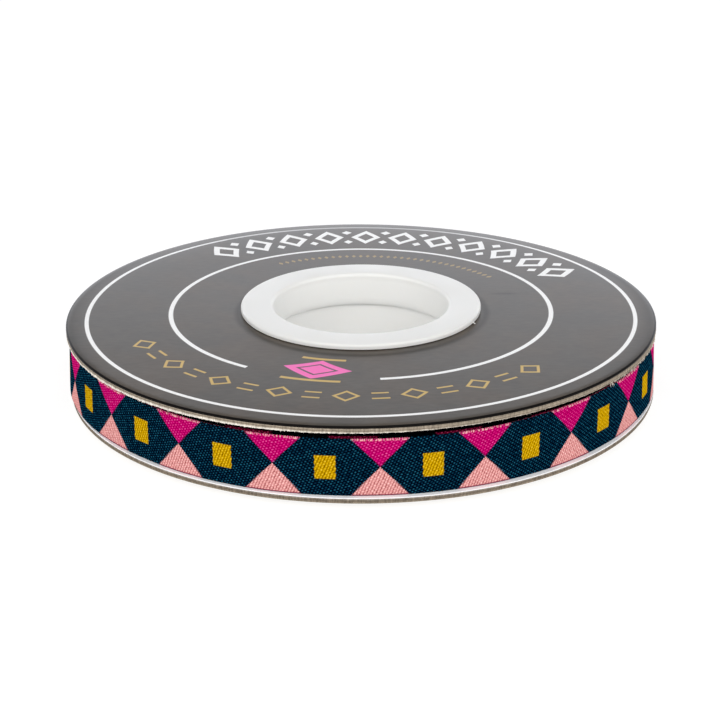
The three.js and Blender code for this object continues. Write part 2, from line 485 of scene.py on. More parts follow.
@dataclass(frozen=True)
class PrintedLabel:
    """Offset-printed satin paper in warm dark grey, with white, gold and pink inks.

    It is darker towards the rim at the sides of its margin and darkest at its rim; round the hub lies a
    painted shadow of the hub's flange, and along a crease painted shade.
    """

    paper: str = "#554d45"
    paper_cool: str = "#504c47"
    pressed_rim: str = "#0c0908"
    roughness: float = 0.29
    roughness_change: float = 0.01
    ior: float = 1.5
    specular: float = 0.2
    rim_specular: float = 0.08
    softness: float = 0.12

    mottle_size: float = 5.0
    mottle_change: float = 0.1
    mottle_depth: float = 0.004
    streak_length: float = 2.0833
    streak_width: float = 0.625
    streak_depth: float = 1.25
    streak_change: float = 0.1
    drift_size: float = 11.111
    drift_band: Point = (0.38, 0.62)

    rim_band: Point = (54.6, 54.75)
    # Painted shadow of the hub's flange: a soft dark ring about a point a little off the axis.
    flange_shadow_centre: Point = (0.2, -1.7)
    flange_shadow_ring: Point = (23.2, 1.2)
    flange_shadow_depth: float = 0.42
    # Painted shade of a faint crease: a soft dark oval.
    crease_centre: Point = (27.8, 7.2)
    crease_size: Point = (4.4, 1.1)
    crease_shade_depth: float = 0.34
    margin_band: Point = (51.4, 54.0)
    margin_side: Point = (38.0, 52.0)
    margin_depth: float = 0.4

    white: Ink = Ink("#ffffff", 1.15)
    gold: Ink = Ink("#cfae62", 0.5)
    pink: Ink = Ink("#ff6ec0", 0.4)
    outer_ring: Point = (51.2, 0.375)
    outer_ring_fade: Point = (35.84, 51.2)
    far_ring_share: float = 0.42
    inner_ring: Point = (35.7, 0.425)
    ring_gap: Point = (-123.5, -84.9)

    bold_row: OrnamentBand = OrnamentBand(39.5, 48.5, 22.0, 134.5, 11)
    bold_lozenge: float = 0.4
    seed_place: float = 0.72
    seed_size: Point = (0.13, 0.28)
    thin_row: OrnamentBand = OrnamentBand(40.6, 45.1, -158.0, -44.0, 15)
    thin_lozenge: float = 0.42
    dash_place: float = 0.5
    dash_length: float = 0.26
    small_row: OrnamentBand = OrnamentBand(29.9, 31.9, 33.0, 123.0, 34)
    small_lozenge: Point = (0.3, 0.8)
    small_row_share: float = 0.5
    emblem: OrnamentBand = OrnamentBand(26.9, 37.3, -114.6, -92.8, 1)
    emblem_inset: float = 1.1
    emblem_line: Point = (0.28, 0.56)
    emblem_bar: Point = (4.6, 0.4)
    emblem_bar_inset: float = 0.45

    def outline(self, tree: Tree, distance: Node, stroke: float) -> Node:
        """Adds a mask of a drawn line along the zero of a signed distance."""
        size = add(tree, "ShaderNodeMath", distance, operation="ABSOLUTE")
        return within(tree, size, stroke / 2, self.softness)

    def lozenge(self, tree: Tree, along: Node, across: Node, half_length: float, half_height: float) -> Node:
        """Adds the signed distance of a lozenge's edge.

        Args:
            tree: the node tree.
            along: distance along the band from the lozenge's middle.
            across: distance across the band from its middle.
            half_length: half of its length along the band.
            half_height: half of its height across the band.

        Returns:
            The distance's node, below zero inside the lozenge.
        """
        long_part = add(tree, "ShaderNodeMath", along, operation="ABSOLUTE")
        high_part = add(tree, "ShaderNodeMath", across, operation="ABSOLUTE")
        leaned = add(tree, "ShaderNodeMath", high_part, half_length / half_height, long_part,
                     operation="MULTIPLY_ADD")
        edge = add(tree, "ShaderNodeMath", leaned, half_length, operation="SUBTRACT")
        slope = math.cos(math.atan2(half_length, half_height))
        return add(tree, "ShaderNodeMath", edge, slope, operation="MULTIPLY")

    def drawn_lozenge(self, tree: Tree, edge: Node, stroke: float) -> Node:
        """Adds a mask of an open lozenge, whose line lies inside its edge."""
        inset = add(tree, "ShaderNodeMath", edge, stroke / 2, operation="ADD")
        return self.outline(tree, inset, stroke)

    def bar(self, tree: Tree, along: Node, across: Node, half_length: float, half_height: float) -> Node:
        """Adds a mask of a bar that lies along a band.

        Args:
            tree: the node tree.
            along: distance along the band from the bar's middle.
            across: distance across the band from its middle.
            half_length: half of its length along the band.
            half_height: half of its height across the band.

        Returns:
            The mask's node.
        """
        side = add(tree, "ShaderNodeMath", along, operation="ABSOLUTE")
        high = add(tree, "ShaderNodeMath", across, operation="ABSOLUTE")
        one = within(tree, side, half_length, self.softness)
        other = within(tree, high, half_height, self.softness)
        return add(tree, "ShaderNodeMath", one, other, operation="MULTIPLY")

    def ring(self, tree: Tree, polar: Polar, ring: Point) -> Node:
        """Adds a mask of a printed ring.

        Args:
            tree: the node tree.
            polar: the point's polar coordinates.
            ring: the ring's radius and half of its width.

        Returns:
            The mask's node.
        """
        radius, half_width = ring
        offset = add(tree, "ShaderNodeMath", polar.radius, radius, operation="SUBTRACT")
        size = add(tree, "ShaderNodeMath", offset, operation="ABSOLUTE")
        return within(tree, size, half_width, self.softness)

    def union(self, tree: Tree, masks: Sequence[Node]) -> Node:
        """Joins masks into one.

        Args:
            tree: the node tree.
            masks: the masks' nodes.

        Returns:
            The node that gives the largest of them.
        """
        whole = masks[0]
        for mask in masks[1:]:
            whole = add(tree, "ShaderNodeMath", whole, mask, operation="MAXIMUM")
        return whole

    def printed_rings(self, tree: Tree, polar: Polar) -> list[Node]:
        """Adds the two rings: the outer one fainter towards the back, the inner one broken at the emblem.

        Args:
            tree: the node tree.
            polar: the point's polar coordinates.

        Returns:
            The masks' nodes.
        """
        start, end = self.ring_gap
        offset = add(tree, "ShaderNodeMath", polar.azimuth, (start + end) / 2, operation="SUBTRACT")
        size = add(tree, "ShaderNodeMath", offset, operation="ABSOLUTE")
        kept = add(tree, "ShaderNodeMath", size, (end - start) / 2, operation="GREATER_THAN")
        inner = self.ring(tree, polar, self.inner_ring)
        broken = add(tree, "ShaderNodeMath", inner, kept, operation="MULTIPLY")
        parts = add(tree, "ShaderNodeSeparateXYZ", polar.place)
        fade = add(tree, "ShaderNodeMapRange", parts.outputs["Y"], *self.outer_ring_fade,
                   1.0, self.far_ring_share)
        whole = self.ring(tree, polar, self.outer_ring)
        outer = add(tree, "ShaderNodeMath", whole, fade, operation="MULTIPLY")
        return [outer, broken]

    def white_print(self, tree: Tree, polar: Polar) -> Node:
        """Adds the mask of the white ink: two rings and a bold row of open lozenges with seeds between them.

        Args:
            tree: the node tree.
            polar: the point's polar coordinates.

        Returns:
            The mask's node.
        """
        row = self.bold_row
        along, across, number = row.cell(tree, polar)
        edge = self.lozenge(tree, along, across, row.pitch * self.bold_lozenge, row.half_height)
        drawn = self.drawn_lozenge(tree, edge, self.white.stroke)
        folded = add(tree, "ShaderNodeMath", along, operation="ABSOLUTE")
        from_seam = add(tree, "ShaderNodeMath", folded, row.pitch / 2, operation="SUBTRACT")
        high = add(tree, "ShaderNodeMath", across, operation="ABSOLUTE")
        apart = add(tree, "ShaderNodeMath", high, row.half_height * self.seed_place, operation="SUBTRACT")
        seed_edge = self.lozenge(tree, from_seam, apart, row.pitch * self.seed_size[0],
                                 row.half_height * self.seed_size[1])
        seed = within(tree, seed_edge, 0.0, self.softness)
        way = add(tree, "ShaderNodeMath", along, operation="SIGN")
        towards = add(tree, "ShaderNodeMath", number, way, operation="ADD")
        between = add(tree, "ShaderNodeMath", seed, row.inside(tree, towards), operation="MULTIPLY")
        motif = self.union(tree, [drawn, between])
        bold = add(tree, "ShaderNodeMath", motif, row.inside(tree, number), operation="MULTIPLY")
        return self.union(tree, [*self.printed_rings(tree, polar), bold])

    def gold_print(self, tree: Tree, polar: Polar) -> Node:
        """Adds the mask of the gold ink.

        It is a thin row of open lozenges and pairs of dashes, a faint row of seeds, and the emblem's bars.

        Args:
            tree: the node tree.
            polar: the point's polar coordinates.

        Returns:
            The mask's node.
        """
        row = self.thin_row
        along, across, number = row.cell(tree, polar)
        odd = add(tree, "ShaderNodeMath", number, 2.0, operation="MODULO")
        edge = self.lozenge(tree, along, across, row.pitch * self.thin_lozenge, row.half_height)
        drawn = self.drawn_lozenge(tree, edge, self.gold.stroke)
        folded = add(tree, "ShaderNodeMath", across, operation="ABSOLUTE")
        apart = add(tree, "ShaderNodeMath", folded, row.half_height * self.dash_place, operation="SUBTRACT")
        dashes = self.bar(tree, along, apart, row.pitch * self.dash_length, self.gold.stroke / 2)
        choice = add(tree, "ShaderNodeMix", data_type="FLOAT",
                     links={"Factor": odd, "A": drawn, "B": dashes})
        thin = add(tree, "ShaderNodeMath", choice, row.inside(tree, number), operation="MULTIPLY")

        low = self.small_row
        low_along, low_across, low_number = low.cell(tree, polar)
        seed_edge = self.lozenge(tree, low_along, low_across, low.pitch * self.small_lozenge[0],
                                 low.half_height * self.small_lozenge[1])
        seed = within(tree, seed_edge, 0.0, self.softness)
        faint = add(tree, "ShaderNodeMath", seed, self.small_row_share, operation="MULTIPLY")
        small = add(tree, "ShaderNodeMath", faint, low.inside(tree, low_number), operation="MULTIPLY")

        spot = self.emblem
        spot_along, spot_across, spot_number = spot.cell(tree, polar)
        reach = spot.half_height - self.emblem_bar_inset
        bars = [self.bar(tree, spot_along, add(tree, "ShaderNodeMath", spot_across, reach, operation=way),
                         *self.emblem_bar) for way in ("SUBTRACT", "ADD")]
        ends = add(tree, "ShaderNodeMath", self.union(tree, bars), spot.inside(tree, spot_number),
                   operation="MULTIPLY")
        return self.union(tree, [thin, small, ends])

    def pink_print(self, tree: Tree, polar: Polar) -> Node:
        """Adds the mask of the pink ink: a wide lozenge with an open line inside.

        Args:
            tree: the node tree.
            polar: the point's polar coordinates.

        Returns:
            The mask's node.
        """
        spot = self.emblem
        along, across, number = spot.cell(tree, polar)
        half_height = spot.half_height - self.emblem_inset
        edge = self.lozenge(tree, along, across, spot.pitch / 2, half_height)
        filled = within(tree, edge, 0.0, self.softness)
        length_share, height_share = self.emblem_line
        middle = self.lozenge(tree, along, across, spot.pitch * length_share, half_height * height_share)
        line = self.outline(tree, middle, self.pink.stroke)
        opened = add(tree, "ShaderNodeMath", filled, line, operation="SUBTRACT", use_clamp=True)
        return add(tree, "ShaderNodeMath", opened, spot.inside(tree, number), operation="MULTIPLY")

    def paper_stock(self, tree: Tree, polar: Polar, mottle: Node) -> Node:
        """Adds the colours of the unprinted paper: cloudy, with faint streaks, and warmer in places.

        Args:
            tree: the node tree.
            polar: the point's polar coordinates.
            mottle: the noise that makes it cloudy.

        Returns:
            The node that gives the colour.
        """
        tone = add(tree, "ShaderNodeMapRange", mottle, NOISE_LOW, NOISE_HIGH,
                   1 - self.mottle_change, 1 + self.mottle_change)
        rate = (1 / self.streak_length, 1 / self.streak_width, 1 / self.streak_depth)
        drawn = add(tree, "ShaderNodeVectorMath", polar.place, rate, operation="MULTIPLY")
        streaks = add(tree, "ShaderNodeTexNoise", drawn, links={"Scale": 1.0, "Detail": SOFT})
        fine = add(tree, "ShaderNodeMapRange", streaks, NOISE_LOW, NOISE_HIGH,
                   1 - self.streak_change, 1 + self.streak_change)
        both = add(tree, "ShaderNodeMath", tone, fine, operation="MULTIPLY")
        drift = add(tree, "ShaderNodeTexNoise", polar.place,
                    links={"Scale": 1 / self.drift_size, "Detail": EVEN})
        hue = add(tree, "ShaderNodeMapRange", drift, *self.drift_band)
        stock = add(tree, "ShaderNodeMix", data_type="RGBA",
                    links={"Factor": hue, "A": linear(self.paper_cool), "B": linear(self.paper)})
        return add(tree, "ShaderNodeVectorMath", stock, both, operation="MULTIPLY")

    def margin_and_painted_shade(self, tree: Tree, polar: Polar) -> Node:
        """Adds how far the label is darkened: towards the rim at its margin's sides, by a painted flange
        shadow round the hub, and by painted shade along a crease.

        Args:
            tree: the node tree.
            polar: the point's polar coordinates.

        Returns:
            The node that gives the share of light that is lost.
        """
        parts = add(tree, "ShaderNodeSeparateXYZ", polar.place)
        sideways = add(tree, "ShaderNodeMath", parts.outputs["X"], operation="ABSOLUTE")
        at_side = add(tree, "ShaderNodeMapRange", sideways, *self.margin_side)
        outwards = add(tree, "ShaderNodeMapRange", polar.radius, *self.margin_band, 0.0, self.margin_depth)
        margin = add(tree, "ShaderNodeMath", at_side, outwards, operation="MULTIPLY")

        # Painted shadow of the hub's flange: a soft dark ring just outside it, shifted a little forward.
        radius, softness = self.flange_shadow_ring
        from_flange_shadow = add(tree, "ShaderNodeVectorMath", polar.place, (*self.flange_shadow_centre, 0.0),
                         operation="SUBTRACT")
        flat = add(tree, "ShaderNodeVectorMath", from_flange_shadow, (1.0, 1.0, 0.0), operation="MULTIPLY")
        reach = add(tree, "ShaderNodeVectorMath", flat, operation="LENGTH").outputs["Value"]
        off_ring = add(tree, "ShaderNodeMath", reach, radius, operation="SUBTRACT")
        ring_size = add(tree, "ShaderNodeMath", off_ring, operation="ABSOLUTE")
        pressed = add(tree, "ShaderNodeMapRange", ring_size, 0.0, softness, self.flange_shadow_depth, 0.0,
                      interpolation_type="SMOOTHSTEP")

        # Painted shade along a faint crease.
        length, width = self.crease_size
        from_crease = add(tree, "ShaderNodeVectorMath", polar.place, (*self.crease_centre, 0.0),
                          operation="SUBTRACT")
        squeezed = add(tree, "ShaderNodeVectorMath", from_crease, (1 / length, 1 / width, 0.0),
                       operation="MULTIPLY")
        off_crease = add(tree, "ShaderNodeVectorMath", squeezed, operation="LENGTH").outputs["Value"]
        crease = add(tree, "ShaderNodeMapRange", off_crease, 0.0, 1.0, self.crease_shade_depth, 0.0,
                     interpolation_type="SMOOTHSTEP")
        return self.union(tree, [margin, pressed, crease])

    def make(self) -> bpy.types.Material:
        """Makes the material.

        Returns:
            The material.
        """
        # The press's satin varnish gives a soft shine, which the crushed fibres of the rim have lost.
        material, tree = start_material("offset_printed_satin_paper")
        polar = Polar.of(tree)
        mottle = add(tree, "ShaderNodeTexNoise", polar.place,
                     links={"Scale": 1 / self.mottle_size, "Detail": FINE})
        colour = self.paper_stock(tree, polar, mottle)
        prints = ((self.white_print, self.white), (self.pink_print, self.pink), (self.gold_print, self.gold))
        for draw, ink in prints:
            colour = add(tree, "ShaderNodeMix", data_type="RGBA",
                         links={"Factor": draw(tree, polar), "A": colour, "B": linear(ink.colour)})
        darker = self.margin_and_painted_shade(tree, polar)
        kept = add(tree, "ShaderNodeMath", 1.0, darker, operation="SUBTRACT")
        colour = add(tree, "ShaderNodeVectorMath", colour, kept, operation="MULTIPLY")
        rim = add(tree, "ShaderNodeMapRange", polar.radius, *self.rim_band)
        colour = add(tree, "ShaderNodeMix", data_type="RGBA",
                     links={"Factor": rim, "A": colour, "B": linear(self.pressed_rim)})
        # The shine is lowered too at the rim and where the label is darkened, the painted shade among it.
        dulled = add(tree, "ShaderNodeMath", rim, darker, operation="MAXIMUM")
        varnish = add(tree, "ShaderNodeMapRange", dulled, 0.0, 1.0, self.specular, self.rim_specular)
        gloss = add(tree, "ShaderNodeMapRange", mottle, NOISE_LOW, NOISE_HIGH,
                    self.roughness - self.roughness_change, self.roughness + self.roughness_change)
        bump = add(tree, "ShaderNodeBump",
                   links={"Strength": 1.0, "Distance": self.mottle_depth * MM, "Height": mottle})
        close_material(tree, {"Base Color": colour, "Roughness": gloss, "IOR": self.ior,
                              "Specular IOR Level": varnish, "Normal": bump})
        return material


@dataclass(frozen=True)
class ThreadTones:
    """Colours of one figure of the weave: between the threads, on them, on their crowns and at the tips. The
    dark colour between the threads is painted shade, and the light ones on the crowns and at the tips are
    painted highlight.

    The other values are the heights in the weave's relief at which one gives way to the next.
    """

    hollow_shade: str
    thread: str
    crown_highlight: str
    glint: str
    hollow_end: float = 0.08
    thread_start: float = 0.3
    thread_end: float = 0.5
    crown_start: float = 0.82

    def dress(self, tree: Tree, relief: Node) -> Node:
        """Adds the colours that the weave's relief picks.

        Args:
            tree: the node tree.
            relief: height of the weave from 0 to 1.

        Returns:
            The node whose first output is the colour.
        """
        # Painted shade and highlight: the relief picks a darker colour low down and lighter ones on the
        # crowns.
        ramp = add(tree, "ShaderNodeValToRGB", relief)
        set_ramp(ramp, ((self.hollow_end, self.hollow_shade), (self.thread_start, self.thread),
                        (self.thread_end, self.thread), (self.crown_start, self.crown_highlight), (1.0, self.glint)))
        return ramp


@dataclass(frozen=True)
class WovenJacquard:
    """Woven polyester jacquard: matt threads in a slanted lattice of crowns, coloured figure by figure.

    The cloth's UV map is in millimetres, along the ribbon and up from its lower edge. The repeat has a
    triangle at each edge, tip to tip, and a square half a repeat further on.
    """

    width: float = 10.0
    repeat: float = 17.5
    triangle_base: float = 9.4
    triangle_height: float = 4.95
    square_width: float = 3.42
    square_height: float = 4.1
    scallop_depth: float = 0.06
    scallop_pitch: float = 1.05
    step: float = 0.24
    softness: float = 0.12

    crown_apart: Point = (0.59, 0.19)
    crown_next: Point = (0.387, -0.294)
    crown_change: float = 0.24
    rib_share: float = 0.28
    crown_share: float = 0.11
    slack_length: float = 0.9091
    slack: Point = (0.28, 0.2)
    uneven_size: float = 0.4762
    uneven_height: float = 0.17
    thread_depth: float = 0.06

    selvedge_band: Point = (9.64, 9.7)
    fleck_length: float = 0.2778
    fleck_width: float = 0.625
    fleck_band: Point = (0.48, 0.6)
    fleck_reach: float = 0.1
    fleck: str = "#eab2b0"
    lower_edge_band: Point = (0.32, 0.2)
    lower_edge_line: str = "#7c2b46"
    lit_band: Point | None = None
    lit_outside: float = 0.1
    lit_inside: float = 0.05

    # In each figure the first colour is painted shade between the threads, and the last two are painted
    # highlight.
    ground: ThreadTones = ThreadTones("#00020c", "#021f34", "#0b3e54", "#206074", 0.12, 0.34)
    magenta: ThreadTones = ThreadTones("#98004e", "#c20068", "#cc2a7c", "#dc5c9c")
    pink: ThreadTones = ThreadTones("#9c5453", "#de9896", "#f0b2ae", "#fad0cb", 0.16, 0.42, 0.62, 0.88)
    mustard: ThreadTones = ThreadTones("#785400", "#c29600", "#d6ae14", "#e6c440", 0.16, 0.42, 0.62, 0.88)
    roughness: float = 0.7
    specular: float = 0.0
    sheen: float = 0.8
    sheen_roughness: float = 0.4

    def lattice(self, tree: Tree, cloth: Node) -> tuple[Node, Node]:
        """Adds the height of the weave, from 0 between the threads to 1 on their crowns.

        Args:
            tree: the node tree.
            cloth: the place on the cloth in millimetres.

        Returns:
            The height where threads show as single crowns, and where they lie in slanted ribs.
        """
        (ax, ay), (bx, by) = self.crown_apart, self.crown_next
        area = ax * by - ay * bx
        first = (by / area, -bx / area, 0.0)
        second = (-ay / area, ax / area, 0.0)
        both = (first[0] + second[0], first[1] + second[1], 0.0)
        waves = []
        counts = []
        for row in (first, second, both):
            share = add(tree, "ShaderNodeVectorMath", cloth, row, operation="DOT_PRODUCT").outputs["Value"]
            counts.append(add(tree, "ShaderNodeMath", share, operation="ROUND"))
            angle = add(tree, "ShaderNodeMath", share, 2 * math.pi, operation="MULTIPLY")
            waves.append(add(tree, "ShaderNodeMath", angle, operation="COSINE"))
        pair = add(tree, "ShaderNodeMath", waves[0], waves[1], operation="ADD")
        total = add(tree, "ShaderNodeMath", pair, waves[2], operation="ADD")
        # The three waves of such a lattice add up to between -1.5 and 3.
        lowest, highest = -1.5, 3.0
        even = add(tree, "ShaderNodeMapRange", total, lowest, highest, 0.0, 1.0, clamp=False)
        crown_number = add(tree, "ShaderNodeCombineXYZ", counts[0], counts[1])
        chance = add(tree, "ShaderNodeTexWhiteNoise", crown_number, noise_dimensions="3D").outputs["Value"]
        lift = add(tree, "ShaderNodeMapRange", chance, 0.0, 1.0,
                   1 - self.crown_change, 1 + self.crown_change)
        crowns = add(tree, "ShaderNodeMath", even, lift, operation="MULTIPLY")
        lean = add(tree, "ShaderNodeMath", pair, self.crown_share, 0.5, operation="MULTIPLY_ADD")
        ribs = add(tree, "ShaderNodeMath", waves[2], self.rib_share, lean, operation="MULTIPLY_ADD")
        return crowns, ribs

    def relief(self, tree: Tree, raw: Node) -> tuple[Node, Node]:
        """Adds the weave's height with slack and uneven threads.

        Args:
            tree: the node tree.
            raw: the cloth's UV map in millimetres.

        Returns:
            The height of single crowns and the height of ribs.
        """
        pull = add(tree, "ShaderNodeTexNoise", raw, links={"Scale": 1 / self.slack_length, "Detail": SOFT})
        shift = add(tree, "ShaderNodeVectorMath", pull.outputs["Color"], (-0.5, -0.5, -0.5), operation="ADD")
        small = add(tree, "ShaderNodeVectorMath", shift, (*self.slack, 0.0), operation="MULTIPLY")
        cloth = add(tree, "ShaderNodeVectorMath", raw, small, operation="ADD")
        crowns, ribs = self.lattice(tree, cloth)
        uneven = add(tree, "ShaderNodeTexNoise", raw, links={"Scale": 1 / self.uneven_size, "Detail": EVEN})
        rise = add(tree, "ShaderNodeMapRange", uneven, NOISE_LOW, NOISE_HIGH,
                   -self.uneven_height, self.uneven_height)
        return (add(tree, "ShaderNodeMath", crowns, rise, operation="ADD"),
                add(tree, "ShaderNodeMath", ribs, rise, operation="ADD"))

    def triangle_edges(self, tree: Tree, raw: Node) -> tuple[Node, Node]:
        """Adds the signed distances of the upper and the lower triangle, which change thread by thread.

        Args:
            tree: the node tree.
            raw: the cloth's UV map in millimetres.

        Returns:
            Both distances, measured along the ribbon and below zero inside.
        """
        stepped = add(tree, "ShaderNodeVectorMath", raw, (self.step,) * 3, operation="SNAP")
        parts = add(tree, "ShaderNodeSeparateXYZ", stepped)
        along = add(tree, "ShaderNodeMath", parts.outputs["X"], self.repeat / 2, operation="PINGPONG")
        lean = self.triangle_base / 2 / self.triangle_height
        upper_floor = (self.width - self.triangle_height) * lean
        upper_reach = add(tree, "ShaderNodeMath", parts.outputs["Y"], lean, -upper_floor,
                          operation="MULTIPLY_ADD")
        lower_reach = add(tree, "ShaderNodeMath", parts.outputs["Y"], -lean, self.triangle_height * lean,
                          operation="MULTIPLY_ADD")
        return (add(tree, "ShaderNodeMath", along, upper_reach, operation="SUBTRACT"),
                add(tree, "ShaderNodeMath", along, lower_reach, operation="SUBTRACT"))

    def square_edge(self, tree: Tree, along: Source, height: Source) -> Node:
        """Adds the signed distance of the square, whose sides are scalloped by the weft.

        Args:
            tree: the node tree.
            along: distance along the ribbon.
            height: distance up from its lower edge.

        Returns:
            The distance, below zero inside.
        """
        half = self.repeat / 2
        wave = add(tree, "ShaderNodeMath", height, 2 * math.pi / self.scallop_pitch, operation="MULTIPLY")
        scallop = add(tree, "ShaderNodeMath", wave, operation="COSINE")
        folded = add(tree, "ShaderNodeMath", along, half, operation="PINGPONG")
        from_square = add(tree, "ShaderNodeMath", half, folded, operation="SUBTRACT")
        side = add(tree, "ShaderNodeMath", scallop, self.scallop_depth, from_square,
                   operation="MULTIPLY_ADD")
        side_edge = add(tree, "ShaderNodeMath", side, self.square_width / 2, operation="SUBTRACT")
        rise = add(tree, "ShaderNodeMath", height, self.width / 2, operation="SUBTRACT")
        rise_size = add(tree, "ShaderNodeMath", rise, operation="ABSOLUTE")
        level_edge = add(tree, "ShaderNodeMath", rise_size, self.square_height / 2, operation="SUBTRACT")
        return add(tree, "ShaderNodeMath", side_edge, level_edge, operation="MAXIMUM")

    def fleck_mask(self, tree: Tree, raw: Node, height: Source, upper_edge: Node) -> Node:
        """Adds a mask of the pale weft that comes up here and there at the magenta's selvedge.

        Args:
            tree: the node tree.
            raw: the cloth's UV map in millimetres.
            height: distance up from the ribbon's lower edge.
            upper_edge: signed distance of the upper triangle.

        Returns:
            The mask's node.
        """
        top = add(tree, "ShaderNodeMapRange", height, *self.selvedge_band)
        rate = (1 / self.fleck_length, 1 / self.fleck_width, 0.0)
        stretched = add(tree, "ShaderNodeVectorMath", raw, rate, operation="MULTIPLY")
        patches = add(tree, "ShaderNodeTexNoise", stretched, links={"Scale": 1.0, "Detail": SOFT})
        flecks = add(tree, "ShaderNodeMapRange", patches, *self.fleck_band)
        share = add(tree, "ShaderNodeMath", top, flecks, operation="MULTIPLY")
        reach = within(tree, upper_edge, self.fleck_reach, self.softness)
        return add(tree, "ShaderNodeMath", share, reach, operation="MULTIPLY")

    def lit_mask(self, tree: Tree, height: Source) -> Node:
        """Adds a mask of the painted lit band, where light reaches past the turn outside it.

        Args:
            tree: the node tree.
            height: distance up from the ribbon's lower edge.

        Returns:
            The mask's node.
        """
        start, end = self.lit_band
        over = add(tree, "ShaderNodeMapRange", height, start - self.lit_outside, start + self.lit_inside)
        under = add(tree, "ShaderNodeMapRange", height, end + self.lit_outside, end - self.lit_inside)
        return add(tree, "ShaderNodeMath", over, under, operation="MULTIPLY")

    def make(self, name: str = "woven_polyester_jacquard") -> bpy.types.Material:
        """Makes the material.

        Args:
            name: the material's name.

        Returns:
            The material.
        """
        # Textured yarn scatters light, so the cloth is matt, with a sheen of its own colour at a flat angle.
        material, tree = start_material(name)
        raw = add(tree, "ShaderNodeUVMap", uv_map="cloth_mm")
        place = add(tree, "ShaderNodeSeparateXYZ", raw)
        along, height = place.outputs["X"], place.outputs["Y"]
        crowns, ribs = self.relief(tree, raw)
        upper_edge, lower_edge = self.triangle_edges(tree, raw)
        square = self.square_edge(tree, along, height)

        colour = self.ground.dress(tree, crowns)
        relief = crowns
        for edge, tones, threads in ((upper_edge, self.magenta, crowns), (lower_edge, self.pink, ribs),
                                     (square, self.mustard, ribs)):
            mask = within(tree, edge, 0.0, self.softness)
            colour = add(tree, "ShaderNodeMix", data_type="RGBA",
                         links={"Factor": mask, "A": colour, "B": tones.dress(tree, threads)})
            if threads is ribs:
                relief = add(tree, "ShaderNodeMix", data_type="FLOAT",
                             links={"Factor": mask, "A": relief, "B": threads})

        flecks = self.fleck_mask(tree, raw, height, upper_edge)
        # A darker burgundy line runs along the lower edge under the pink.
        low = add(tree, "ShaderNodeMapRange", height, *self.lower_edge_band)
        under_pink = add(tree, "ShaderNodeMath", low, within(tree, lower_edge, 0.0, self.softness),
                         operation="MULTIPLY")
        for mask, thread in ((flecks, self.fleck), (under_pink, self.lower_edge_line)):
            colour = add(tree, "ShaderNodeMix", data_type="RGBA",
                         links={"Factor": mask, "A": colour, "B": linear(thread)})
        # Painted shade: outside the lit band the cloth takes the dark colour between its threads.
        if self.lit_band:
            colour = add(tree, "ShaderNodeMix", data_type="RGBA",
                         links={"Factor": self.lit_mask(tree, height), "A": linear(self.ground.hollow_shade),
                                "B": colour})

        bump = add(tree, "ShaderNodeBump",
                   links={"Strength": 1.0, "Distance": self.thread_depth * MM, "Height": relief})
        close_material(tree, {
            "Base Color": colour, "Roughness": self.roughness, "Specular IOR Level": self.specular,
            "Sheen Weight": self.sheen, "Sheen Roughness": self.sheen_roughness, "Sheen Tint": colour,
            "Normal": bump,
        })
        return material


def arc(centre: Point, size: float, start: float, end: float, steps: int) -> Section:
    """Gives points along an arc of a section.

    Args:
        centre: radius and height of the arc's centre.
        size: the arc's own radius.
        start: angle of its first point in degrees.
        end: angle of its last point.
        steps: how many steps it has.

    Returns:
        The points, both ends among them.
    """
    angles = [math.radians(start + (end - start) * step / steps) for step in range(steps + 1)]
    return [(centre[0] + size * math.cos(a), centre[1] + size * math.sin(a)) for a in angles]


def turned(section: Section, steps: int) -> bmesh.types.BMesh:
    """Spins a closed section once about the reel's axis: first one wedge, then copies of the wedge.

    Args:
        section: its corners as radius and height.
        steps: how many steps the turn has, a multiple of the number of wedges.

    Returns:
        A closed mesh in millimetres.
    """
    bm = bmesh.new()
    corners = [bm.verts.new((radius, 0.0, height)) for radius, height in section]
    edges = [bm.edges.new(pair) for pair in zip(corners, corners[1:] + corners[:1])]
    wedge = 2 * math.pi / WEDGES
    about = {"cent": (0, 0, 0), "axis": (0, 0, 1), "dvec": (0, 0, 0), "use_merge": False}
    bmesh.ops.spin(bm, geom=corners + edges, angle=wedge, steps=steps // WEDGES, use_duplicate=False,
                   **about)
    bmesh.ops.spin(bm, geom=[*bm.verts, *bm.edges, *bm.faces], angle=2 * math.pi - wedge, steps=WEDGES - 1,
                   use_duplicate=True, **about)
    bmesh.ops.remove_doubles(bm, verts=bm.verts, dist=MERGE_DISTANCE)
    bmesh.ops.recalc_face_normals(bm, faces=bm.faces)
    return bm


def reshape(bm: bmesh.types.BMesh, place: Callable[[float, float, float], Point]) -> None:
    """Moves each vertex within its own radial plane.

    Args:
        bm: the mesh.
        place: takes radius, azimuth in degrees and height, and gives the new radius and height.
    """
    for vertex in bm.verts:
        radius = math.hypot(vertex.co.x, vertex.co.y)
        azimuth = math.degrees(math.atan2(vertex.co.y, vertex.co.x))
        new_radius, height = place(radius, azimuth, vertex.co.z)
        grow = new_radius / radius
        vertex.co = (vertex.co.x * grow, vertex.co.y * grow, height)


